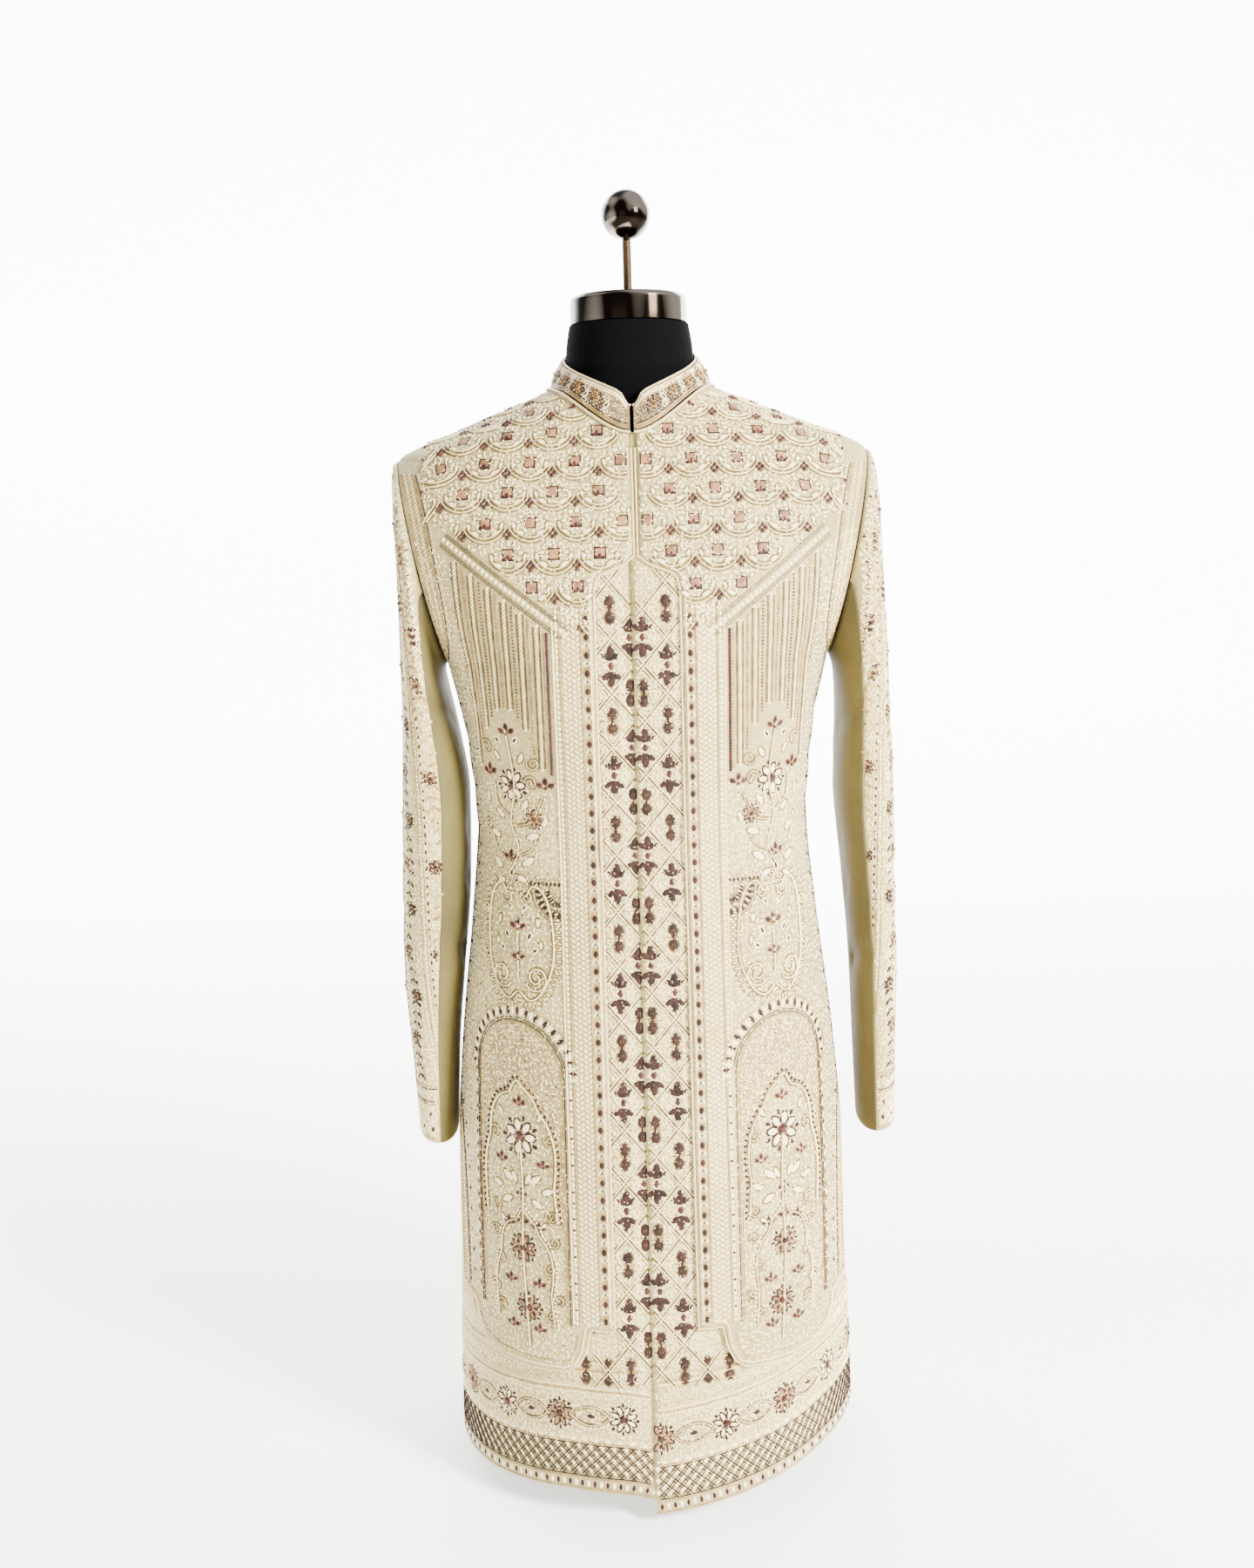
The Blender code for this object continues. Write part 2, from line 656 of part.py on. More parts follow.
def neck_place(degrees):
    """The side, turn and height of the neckline at an angle round the neck."""
    degrees %= 360
    side = 1 if degrees <= 180 else -1
    row = neck_row(math.radians(degrees if side > 0 else 360 - degrees))
    return side, row.height, row.turn


def neck_frame(degrees):
    """At an angle round the neckline: its point on the body, the cloth's normal, the direction
    along the cloth away from the neck, and the lift of a piece sewn on there."""
    side, height, turn = neck_place(degrees)
    lift = blend(COLLAR_LIFT_FRONT, COLLAR_LIFT_BACK, smooth((turn - 1) / 0.25))
    normal = body_normal(side, height, turn)
    along = body_point(*neck_place(degrees + 1)) - body_point(*neck_place(degrees - 1))
    return body_point(side, height, turn), normal, along.cross(normal).normalized(), lift


def collar_point(degrees, share):
    """A point of the collar's outer face, from its base (0) to its top edge (1)."""
    point, normal, away, lift = neck_frame(degrees)
    base = point + normal * lift - away * COLLAR_BASE_GAP
    angle = math.radians(degrees)
    fore = math.cos(angle)
    rim = straight(COLLAR_EDGE, "height", degrees if degrees <= 180 else 360 - degrees)
    top = Vector((COLLAR_TOP_HALF_WIDTH * math.sin(angle),
                  -fore * (COLLAR_TOP_FRONT if fore > 0 else COLLAR_TOP_BACK), rim))
    point = base.lerp(top, share)
    outward = Vector((point.x, point.y, 0)).normalized()
    return point + outward * COLLAR_BULGE * math.sin(math.pi * share)


def collar_normal(degrees, share):
    """The outward normal of the collar's face."""
    ahead = min(degrees + 1, 360 - COLLAR_ANGLES[0])
    behind = max(degrees - 1, COLLAR_ANGLES[0])
    along = collar_point(ahead, share) - collar_point(behind, share)
    up = collar_point(degrees, min(share + 0.3, 1)) - collar_point(degrees, max(share - 0.3, 0))
    return along.cross(up).normalized()


def make_collar():
    """The stand collar with its two pipings."""
    angles = list(COLLAR_ANGLES) + [360 - degrees for degrees in reversed(COLLAR_ANGLES[:-1])]

    def place(column, row, depth):
        share = row / COLLAR_ROWS
        return (collar_point(angles[column], share)
                - collar_normal(angles[column], share) * depth)
    cloth_wall("collar_band", "gold embroidery", len(angles) - 1, COLLAR_ROWS, COLLAR_WALL, place)
    edge = [place(column, COLLAR_ROWS, COLLAR_WALL / 2) for column in range(len(angles))]
    runs = [(ahead - behind).normalized() for behind, ahead in zip(edge, edge[1:])]
    top_points, base_points = [], []
    for index, degrees in enumerate(angles):
        bisector = (runs[max(index - 1, 0)] + runs[min(index, len(runs) - 1)]) / 2
        up = collar_normal(degrees, 1).cross(bisector).normalized()
        mitre = max(bisector.length, 0.5)
        top_points.append(edge[index] + up * (PIPING_RADIUS + CLEAR) / mitre)
        point, normal, away, lift = neck_frame(degrees)
        base_points.append(point + normal * (lift + PIPING_RADIUS + BASE_PIPING_LIFT)
                           + away * (PIPING_RADIUS + CLEAR))
    tube("collar_top_piping", "gold piping", top_points, PIPING_RADIUS)
    tube("collar_base_piping", "gold piping", base_points, PIPING_RADIUS)


def make_form_torso():
    """The black cloth torso, lofted through level rings from the hip to the neck."""
    mesh = bpy.data.meshes.new("form_torso")
    loft = bmesh.new()
    rings = []
    for level in FORM_LEVELS:
        ring = []
        for k in range(FORM_AROUND):
            turn = 4 * k / FORM_AROUND
            side = 1 if turn <= 2 else -1
            turn = turn if side > 0 else 4 - turn
            inset = curved(FORM_INSET, "inset", level)
            if inset > 0:
                inset += FORM_FRONT_INSET * max(0.0, math.cos(turn * QUARTER)) ** 2
            point = lifted(side, level, turn, -inset)
            if level > ARM_BOTTOM:
                limit = armhole_x(level) - FORM_ARM_INSET
                point.x = clamp(point.x, -limit, limit)
            ring.append(loft.verts.new(point))
        rings.append(ring)
    for low, high in zip(rings, rings[1:]):
        for k in range(FORM_AROUND):
            ahead = (k + 1) % FORM_AROUND
            loft.faces.new((low[k], low[ahead], high[ahead], high[k]))
    loft.faces.new(reversed(rings[0]))
    loft.faces.new(rings[-1])
    for vert in rings[0]:
        vert.co.z = FORM_BOTTOM
    for vert in rings[-1]:
        vert.co.z = FORM_LEVELS[-1]
    bmesh.ops.recalc_face_normals(loft, faces=loft.faces)
    loft.to_mesh(mesh)
    loft.free()
    mesh.shade_smooth()
    mesh.set_sharp_from_angle(angle=math.radians(50))
    add_object("form_torso", mesh, "black form cloth")


def make_form_fittings():
    """The steel neck cap, the threaded rod, the ball, the pole and the base."""
    cap = [(0.0, CAP_TOP)] + rounded_rim(CAP_RADIUS, CAP_TOP, CAP_ROUND, 5)
    turned("form_neck_cap", "polished steel", cap + [(CAP_RADIUS, CAP_BOTTOM), (0.0, CAP_BOTTOM)], 24)
    cylinder("form_rod", "brass rod", ROD_RADIUS, CAP_TOP + 0.0003, ROD_TOP, 12)
    mesh = bpy.data.meshes.new("form_ball")
    ball = bmesh.new()
    bmesh.ops.create_uvsphere(ball, u_segments=18, v_segments=10, radius=BALL_RADIUS)
    ball.to_mesh(mesh)
    ball.free()
    mesh.shade_smooth()
    add_object("form_ball", mesh, "polished steel").location.z = BALL_CENTRE
    base = [(0.0, BASE_HEIGHT)] + rounded_rim(BASE_RADIUS, BASE_HEIGHT, BASE_ROUND, 3)
    turned("form_base", "black enamel", base + [(BASE_RADIUS, 0.0), (0.0, 0.0)], 32)
    cylinder("form_pole", "polished steel", POLE_RADIUS, BASE_HEIGHT + 0.0003,
             FORM_BOTTOM - 0.0003, 16)


def main():
    for old in list(bpy.data.objects):
        bpy.data.objects.remove(old)
    parts = bpy.data.collections.new("sherwani_coat")
    bpy.context.scene.collection.children.link(parts)
    make_form_torso()
    make_form_fittings()
    for side, label in SIDES:
        make_coat_front(side, label)
        make_coat_back(side, label)
        make_over_front(side, label)
        make_over_piping(side, label)
        make_sleeve(side, label)
    make_collar()


main()
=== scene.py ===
"""The finish of an ivory embroidered sherwani coat that stands on a black limbless dress form.

The coat's cloth pieces lie on one body surface, which this file works out from the same named
sizes as the part. Each piece is a fine shell on that surface. Embroidery is laid out in
millimetres on flat charts of the pieces and then set on the shells: raised cords, beads, stones,
leaves and sequins, many of each joined in one mesh.
"""
import logging
import math
from dataclasses import dataclass, field
from enum import Enum
from typing import Callable, Sequence

import bmesh
import bpy
import numpy as np
from mathutils import Matrix, Vector


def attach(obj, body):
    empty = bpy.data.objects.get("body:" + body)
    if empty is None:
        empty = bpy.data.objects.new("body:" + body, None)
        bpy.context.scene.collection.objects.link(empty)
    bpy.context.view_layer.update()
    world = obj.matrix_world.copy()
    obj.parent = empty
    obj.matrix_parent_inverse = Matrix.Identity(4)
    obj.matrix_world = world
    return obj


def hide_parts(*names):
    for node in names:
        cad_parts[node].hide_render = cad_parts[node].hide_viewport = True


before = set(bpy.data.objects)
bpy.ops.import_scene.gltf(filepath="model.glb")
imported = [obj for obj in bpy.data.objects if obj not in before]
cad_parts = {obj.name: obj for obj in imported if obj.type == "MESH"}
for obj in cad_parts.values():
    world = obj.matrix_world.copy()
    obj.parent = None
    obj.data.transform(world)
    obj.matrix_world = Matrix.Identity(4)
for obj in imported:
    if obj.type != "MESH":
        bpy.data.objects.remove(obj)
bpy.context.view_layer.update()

log = logging.getLogger("sherwani")
logging.basicConfig(level=logging.INFO, format="%(name)s: %(message)s")

Array = np.ndarray
MM = 0.001
QUARTER = math.pi / 2
LEFT, RIGHT = -1, 1
SIDE_NAMES = {LEFT: "left", RIGHT: "right"}


def to_linear(hex_colour: str) -> tuple[float, float, float, float]:
    """Turn an sRGB hex colour such as "EFE3C8" into the linear values that a shader takes.

    Args:
        hex_colour: six hex digits.

    Returns:
        Red, green, blue and alpha.
    """
    parts = [int(hex_colour[k:k + 2], 16) / 255 for k in (0, 2, 4)]
    linear = [p / 12.92 if p <= 0.04045 else ((p + 0.055) / 1.055) ** 2.4 for p in parts]
    return (*linear, 1.0)


def monotone(keys: Sequence[float], values: Sequence[float], at: Array) -> Array:
    """Read a smooth curve through a table's rows that never overshoots them.

    Args:
        keys: the table's keys, rising.
        values: the value at each key.
        at: where the curve is read.

    Returns:
        The curve's values.
    """
    keys, values = np.asarray(keys, float), np.asarray(values, float)
    steps = np.diff(values) / np.diff(keys)
    product = steps[:-1] * steps[1:]
    total = steps[:-1] + steps[1:]
    inner = np.where(product > 0, 2 * product / np.where(total == 0, 1, total), 0.0)
    slopes = np.concatenate([steps[:1], inner, steps[-1:]])
    at = np.clip(at, keys[0], keys[-1])
    k = np.clip(np.searchsorted(keys, at, side="left") - 1, 0, len(keys) - 2)
    span = keys[k + 1] - keys[k]
    s = (at - keys[k]) / span
    return (values[k] * (1 + 2 * s) * (1 - s) ** 2 + slopes[k] * span * s * (1 - s) ** 2
            + values[k + 1] * s * s * (3 - 2 * s) + slopes[k + 1] * span * s * s * (s - 1))


def smooth(value: Array) -> Array:
    """Ease a value from 0 to 1."""
    value = np.clip(value, 0, 1)
    return value * value * (3 - 2 * value)


def unit(vectors: Array) -> Array:
    """Scale vectors to length 1."""
    return vectors / np.maximum(np.linalg.norm(vectors, axis=-1, keepdims=True), 1e-12)


@dataclass(frozen=True)
class Section:
    """One level section of the body surface, in metres."""

    height: float
    half_width: float
    front: float
    back: float
    power: float


@dataclass(frozen=True)
class Crease:
    """A soft trough (depth below 0) or ridge in the cloth, placed on the body surface."""

    height: float
    turn: float
    length: float
    width: float
    lean: float
    depth: float


@dataclass
class BodySurface:
    """The surface that every body piece lies on: side, height and turn (0 front, 1 side, 2 back)."""

    arm_bottom: float = 0.862
    arm_top: float = 1.063
    arm_x_bottom: float = 0.1930
    arm_x_top: float = 0.2359
    arm_half_depth: float = 0.0755
    neck_half_width: float = 0.0810
    neck_front: float = 0.0900
    neck_back: float = 0.0700
    neck_point: float = 1.1295
    neck_steps: int = 24
    tilt_start: float = 1.000
    hem_blend: float = 0.30
    seam_turn: float = 0.0008
    flute_depth: float = 0.0060
    flute_top: float = 0.560
    flute_count: int = 2
    flute_start: float = 0.80
    table_rows: int = 2400
    neck_limit: float = 1.16
    crease_span: float = 0.28
    crease_shift: float = 0.012
    sections: tuple[Section, ...] = (
        Section(0.0120, 0.2165, 0.2030, 0.1930, 2.10),
        Section(0.1500, 0.2137, 0.1900, 0.1820, 2.10),
        Section(0.3300, 0.2045, 0.1700, 0.1660, 2.15),
        Section(0.4700, 0.1925, 0.1530, 0.1520, 2.20),
        Section(0.6000, 0.1770, 0.1360, 0.1300, 2.20),
        Section(0.6900, 0.1695, 0.1240, 0.1090, 2.20),
        Section(0.7800, 0.1765, 0.1300, 0.1110, 2.25),
        Section(0.8620, 0.1930, 0.1380, 0.1210, 2.30),
        Section(0.9500, 0.2200, 0.1345, 0.1260, 2.30),
        Section(1.0000, 0.2300, 0.1210, 0.1180, 2.20),
        Section(1.0400, 0.2340, 0.1060, 0.1050, 2.10),
        Section(1.0630, 0.2359, 0.0975, 0.0960, 2.00),
        Section(1.0763, 0.2140, 0.0925, 0.0905, 1.95),
        Section(1.0912, 0.1720, 0.0870, 0.0840, 1.88),
        Section(1.1125, 0.1200, 0.0775, 0.0740, 1.88),
        Section(1.1217, 0.0974, 0.0735, 0.0705, 1.95),
        Section(1.1295, 0.0810, 0.0700, 0.0685, 2.00),
        Section(1.1500, 0.0655, 0.0650, 0.0645, 2.00),
        Section(1.1700, 0.0642, 0.0640, 0.0640, 2.00),
        Section(1.1935, 0.0605, 0.0605, 0.0605, 2.00),
    )
    creases: tuple[Crease, ...] = (
        Crease(0.800, 0.86, 0.150, 0.013, -0.50, -0.0014),
        Crease(0.745, 0.92, 0.130, 0.011, -0.35, -0.0012),
        Crease(0.690, 0.84, 0.120, 0.014, 0.25, -0.0013),
        Crease(0.610, 0.70, 0.160, 0.018, 1.10, -0.0012),
        Crease(0.880, 1.30, 0.160, 0.014, 0.80, -0.0020),
        Crease(0.780, 1.55, 0.180, 0.015, 0.10, -0.0022),
        Crease(0.735, 1.35, 0.150, 0.012, -0.20, -0.0020),
        Crease(0.690, 1.62, 0.170, 0.014, 0.05, -0.0018),
        Crease(0.950, 1.45, 0.140, 0.016, 1.30, -0.0018),
        Crease(1.010, 1.78, 0.110, 0.014, 0.20, -0.0012),
    )

    def __post_init__(self) -> None:
        """Read the section table densely and work out the neckline."""
        keys = [s.height for s in self.sections]
        self.levels = np.linspace(keys[0], keys[-1], self.table_rows)
        self.fronts = monotone(keys, [s.front for s in self.sections], self.levels)
        self.backs = monotone(keys, [s.back for s in self.sections], self.levels)
        self.powers = monotone(keys, [s.power for s in self.sections], self.levels)
        widths = monotone(keys, [s.half_width for s in self.sections], self.levels)
        rise = (2 * self.levels - self.arm_bottom - self.arm_top) / (self.arm_top - self.arm_bottom)
        depth = self.arm_half_depth * np.sqrt(np.clip(1 - rise ** 2, 0, 1)) / self.fronts
        through = self.armhole_x(self.levels) / (1 - depth ** self.powers) ** (1 / self.powers)
        self.widths = np.where(np.abs(rise) < 1, through, widths)
        angles = np.pi * np.arange(self.neck_steps + 1) / self.neck_steps
        self.neck_turns, self.neck_heights = self.neck_row(angles)

    def armhole_x(self, height: Array) -> Array:
        """How far out the armhole's plane lies at a height."""
        share = (height - self.arm_bottom) / (self.arm_top - self.arm_bottom)
        return self.arm_x_bottom + (self.arm_x_top - self.arm_x_bottom) * share

    def half_width(self, height: Array) -> Array:
        """The section's half-width at a height."""
        return np.interp(height, self.levels, self.widths)

    def neck_row(self, angles: Array) -> tuple[Array, Array]:
        """Find the neckline at plan angles from the centre front.

        Args:
            angles: plan angles from 0 to pi.

        Returns:
            The turns and the heights.
        """
        fore = np.cos(angles)
        across = self.neck_half_width * np.sin(angles)
        along = np.abs(fore) * np.where(fore > 0, self.neck_front, self.neck_back)
        low, high = np.full_like(angles, self.tilt_start), np.full_like(angles, self.neck_limit)
        for _ in range(40):
            middle = (low + high) / 2
            depth = np.where(fore > 0, np.interp(middle, self.levels, self.fronts),
                             np.interp(middle, self.levels, self.backs))
            power = np.interp(middle, self.levels, self.powers)
            inside = (across / self.half_width(middle)) ** power + (along / depth) ** power < 1
            low, high = np.where(inside, middle, low), np.where(inside, high, middle)
        turns = self.turn_at(across, low)
        return np.where(fore > 0, turns, 2 - turns), low

    def turn_at(self, across: Array, height: Array) -> Array:
        """The turn, on the front, of a point at a distance from the centre."""
        power = np.interp(height, self.levels, self.powers)
        share = np.minimum(1.0, (np.abs(across) / self.half_width(height)) ** (power / 2))
        return np.sign(across) * np.arcsin(share) / QUARTER

    def point(self, side: int, height: Array, turn: Array) -> Array:
        """Points of the surface."""
        width, front, back, power = (np.interp(height, self.levels, row) for row in
                                     (self.widths, self.fronts, self.backs, self.powers))
        sine, cosine = np.sin(turn * QUARTER), np.cos(turn * QUARTER)
        across = width * np.sign(sine) * np.abs(sine) ** (2 / power)
        along = np.where(cosine > 0, front, back) * np.sign(cosine) * np.abs(cosine) ** (2 / power)
        points = np.stack([side * across, -along, height + 0 * across], -1)
        flute = self.flute_depth * smooth((self.flute_top - height) / self.flute_top)
        flute = flute * smooth((turn - self.flute_start) / (1 - self.flute_start))
        outward = unit(points * [1, 1, 0])
        return points - outward * (flute * np.cos(2 * np.pi * self.flute_count * turn))[..., None]

    def normal(self, side: int, height: Array, turn: Array) -> Array:
        """Outward normals of the surface."""
        around = self.point(side, height, turn + 0.01) - self.point(side, height, turn - 0.01)
        low = np.maximum(height - 0.002, self.levels[0])
        up = self.point(side, height + 0.002, turn) - self.point(side, low, turn)
        return unit(np.cross(around, up) * side)

    def crease_depth(self, side: int, height: Array, turn: Array) -> Array:
        """How far the cloth's creases move it along its normal.

        Args:
            side: LEFT or RIGHT. The two sides' creases lie a little apart.
            height: heights.
            turn: turns.

        Returns:
            The offsets, in metres.
        """
        total = np.zeros(np.broadcast(height, turn).shape)
        for crease in self.creases:
            across = (turn - crease.turn) * self.crease_span
            along = height - crease.height - self.crease_shift * side
            run = across * math.cos(crease.lean) + along * math.sin(crease.lean)
            off = along * math.cos(crease.lean) - across * math.sin(crease.lean)
            fade = (off / crease.width) ** 2 + (run / crease.length * 2) ** 4
            total += crease.depth * np.exp(-fade)
        return total

    def lifted(self, side: int, height: Array, turn: Array, lift: Array) -> Array:
        """Points that stand off the surface, creases included."""
        lift = lift + self.crease_depth(side, height, turn)
        return self.point(side, height, turn) + self.normal(side, height, turn) * lift[..., None]

    def armhole_turn(self, height: Array) -> Array:
        """The turn of the armhole's edge, or of the side seam beyond it."""
        edge = np.minimum(self.turn_at(self.armhole_x(height), height), 1 - self.seam_turn)
        beside = (height > self.arm_bottom) & (height < self.arm_top)
        return np.where(beside, edge, 1 - self.seam_turn)

    def row_height(self, level: Array, first: float, turn: Array, hem: Array) -> Array:
        """A row's height at a turn, leaning to meet the hem below and the neckline above.

        Args:
            level: the row's own level.
            first: the lowest row's level.
            turn: turns along the row.
            hem: the hem's height there.

        Returns:
            The heights.
        """
        neck = np.interp(turn, self.neck_turns, self.neck_heights)
        low = hem + (self.hem_blend - hem) * (level - first) / (self.hem_blend - first)
        high = self.tilt_start + (neck - self.tilt_start) * (
            (level - self.tilt_start) / (self.neck_point - self.tilt_start))
        return np.where(level < self.hem_blend, low, np.where(level > self.tilt_start, high, level))


BODY = BodySurface()


def refined(levels: Sequence[float], parts: int) -> Array:
    """A rising list of levels with each step cut in equal parts."""
    index = np.arange(len(levels))
    fine = np.linspace(0, len(levels) - 1, (len(levels) - 1) * parts + 1)
    return np.interp(fine, index, levels)


class Finish(Enum):
    """The threads, beads and stones of the embroidery."""

    PEARL = "pearl"
    CREAM = "cream"
    GOLD = "gold"
    ROSE = "rose"
    BROWN = "brown"
    MAROON = "maroon"
    BRONZE = "bronze"
    CRYSTAL = "crystal"
    # painted shade: dark flat work laid round and under raised work, where its shadow falls
    SHADE = "shade"


class Stamp(Enum):
    """The small shapes that are set by the hundred, each a few faces."""

    PEARL = "half a round bead"
    SEED = "a tiny bead"
    STONE = "a cut stone"
    LEAF = "a padded leaf or petal"
    STITCH = "a raised stitch"


def stamp_mesh(stamp: Stamp) -> tuple[Array, Array]:
    """Model one stamp with bmesh, 1 unit in half-length along X, its top towards +Z.

    Args:
        stamp: which shape.

    Returns:
        Its points and its triangles.
    """
    shape = bmesh.new()
    if stamp is Stamp.PEARL:
        bmesh.ops.create_uvsphere(shape, u_segments=6, v_segments=4, radius=1)
        bmesh.ops.bisect_plane(shape, geom=shape.verts[:] + shape.edges[:] + shape.faces[:],
                               plane_co=(0, 0, 0), plane_no=(0, 0, -1), clear_outer=True)
    elif stamp is Stamp.SEED:
        bmesh.ops.create_cone(shape, segments=4, radius1=1, radius2=0, depth=1)
        bmesh.ops.translate(shape, verts=shape.verts, vec=(0, 0, 0.5))
    elif stamp is Stamp.STONE:
        bmesh.ops.create_cone(shape, cap_ends=True, segments=6, radius1=1, radius2=0.5, depth=1)
        bmesh.ops.translate(shape, verts=shape.verts, vec=(0, 0, 0.5))
        under = [face for face in shape.faces if face.normal.z < -0.9]
        bmesh.ops.delete(shape, geom=under, context="FACES")
    else:
        corners = 8 if stamp is Stamp.LEAF else 4
        bmesh.ops.create_circle(shape, cap_ends=True, cap_tris=True, segments=corners, radius=1)
        for vert in shape.verts:
            if vert.co.length < 0.01:
                vert.co.z = 1
            elif stamp is Stamp.LEAF:
                vert.co.y *= abs(vert.co.y) ** 0.4
    bmesh.ops.triangulate(shape, faces=shape.faces)
    shape.verts.index_update()
    points = np.array([vert.co[:] for vert in shape.verts])
    faces = np.array([[vert.index for vert in face.verts] for face in shape.faces])
    first = points[faces[0]]
    if np.cross(first[1] - first[0], first[2] - first[0])[2] < 0:
        faces = faces[:, ::-1]
    shape.free()
    return points, faces


STAMPS = {stamp: stamp_mesh(stamp) for stamp in Stamp}
FACETED = (Stamp.STONE,)


class Chart:
    """A flat chart of a cloth piece, in millimetres: u across from a line, v up or down it."""

    flip = 1
    probe = 0.7

    def lay(self, u: Array, v: Array, off: Array) -> Array:
        """Points of the cloth at chart places, standing off its face."""
        raise NotImplementedError

    def inside(self, u: Array, v: Array) -> Array:
        """Whether chart places lie on the piece."""
        return np.ones(np.broadcast(u, v).shape, bool)

    def axes(self, u: Array, v: Array) -> tuple[Array, Array, Array]:
        """The cloth's directions along u and v and its outward normal at chart places."""
        zero = np.zeros_like(u)
        along = unit(self.lay(u + self.probe, v, zero) - self.lay(u - self.probe, v, zero))
        up = self.lay(u, v + self.probe, zero) - self.lay(u, v - self.probe, zero)
        out = unit(np.cross(along, up)) * self.flip
        return along, unit(np.cross(out, along)) * self.flip, out

class SurfaceGrid:
    """Points and outward normals of a surface on a grid of rows and columns, read between them."""

    def __init__(self, points: Array, side: int) -> None:
        """Work out the normals of a grid of points, rows first."""
        self.points = points
        across, along = np.gradient(points, axis=1), np.gradient(points, axis=0)
        self.normals = unit(np.cross(across, along)) * side

    def read(self, rows: Array, columns: Array, off: Array) -> Array:
        """Points at fractional rows and columns that stand off the surface, in metres."""
        return (read_grid(self.points, rows, columns)
                + unit(read_grid(self.normals, rows, columns)) * np.asarray(off)[..., None])


def read_grid(grid: Array, rows: Array, columns: Array) -> Array:
    """Read a grid between its values.

    Args:
        grid: values by row and column, plain or vectors.
        rows: fractional rows.
        columns: fractional columns.

    Returns:
        The values there.
    """
    rows = np.clip(rows, 0, grid.shape[0] - 1.001)
    columns = np.clip(columns, 0, grid.shape[1] - 1.001)
    r, c = rows.astype(int), columns.astype(int)
    down, over = rows - r, columns - c
    if grid.ndim == 3:
        down, over = down[..., None], over[..., None]
    return ((grid[r, c] * (1 - over) + grid[r, c + 1] * over) * (1 - down)
            + (grid[r + 1, c] * (1 - over) + grid[r + 1, c + 1] * over) * down)


@dataclass
class BodyChart(Chart):
    """A side of the body surface: u is the arc round from the centre front, v the height, in mm."""

    side: int
    row_low: float = 12.0
    row_high: float = 1190.0
    row_step: float = 2.5
    turn_step: float = 0.005
    turn_low: float = -0.15
    arc_step: float = 4.0
    arc_low: float = -60.0
    arc_high: float = 720.0

    def __post_init__(self) -> None:
        """Set up the grid of points and the table from arcs to turns."""
        self.flip = self.side
        heights = np.arange(self.row_low, self.row_high, self.row_step)
        turns = np.arange(self.turn_low, 2.0 + self.turn_step, self.turn_step)
        spread = np.ones((len(heights), len(turns)))
        high, turn = heights[:, None] / 1000 * spread, turns[None, :] * spread
        grid = BODY.lifted(self.side, high, turn, 0 * spread)
        self.surface = SurfaceGrid(grid, self.side)
        steps = np.linalg.norm(np.diff(grid[..., :2], axis=1), axis=-1) * 1000
        arcs = np.concatenate([np.zeros((len(heights), 1)), np.cumsum(steps, axis=1)], axis=1)
        arcs -= np.array([np.interp(0, turns, row) for row in arcs])[:, None]
        keys = np.arange(self.arc_low, self.arc_high, self.arc_step)
        self.turns = np.array([np.interp(keys, row, turns) for row in arcs])

    def rows(self, v: Array) -> Array:
        """Fractional rows of heights in mm."""
        return (np.asarray(v, float) - self.row_low) / self.row_step

    def turn(self, u: Array, v: Array) -> Array:
        """The turn at an arc and a height."""
        columns = (np.asarray(u, float) - self.arc_low) / self.arc_step
        return read_grid(self.turns, self.rows(v), columns)

    def across(self, u: Array, v: Array) -> Array:
        """How far out from the centre plane a place lies, in mm."""
        zero = np.zeros(np.shape(u))
        return np.abs(self.surface.read(self.rows(v), self.column(u, v), zero)[..., 0]) * 1000

    def column(self, u: Array, v: Array) -> Array:
        """Fractional columns at arcs and heights."""
        return (self.turn(u, v) - self.turn_low) / self.turn_step

    def lift(self, u: Array, v: Array) -> Array:
        """How far the piece's face stands off the body surface, in metres."""
        return np.zeros(np.broadcast(u, v).shape)

    def lay(self, u: Array, v: Array, off: Array) -> Array:
        """Points at an arc and a height, standing off the piece's face by mm."""
        lift = self.lift(u, v) + np.asarray(off) * MM
        return self.surface.read(self.rows(v), self.column(u, v), lift)


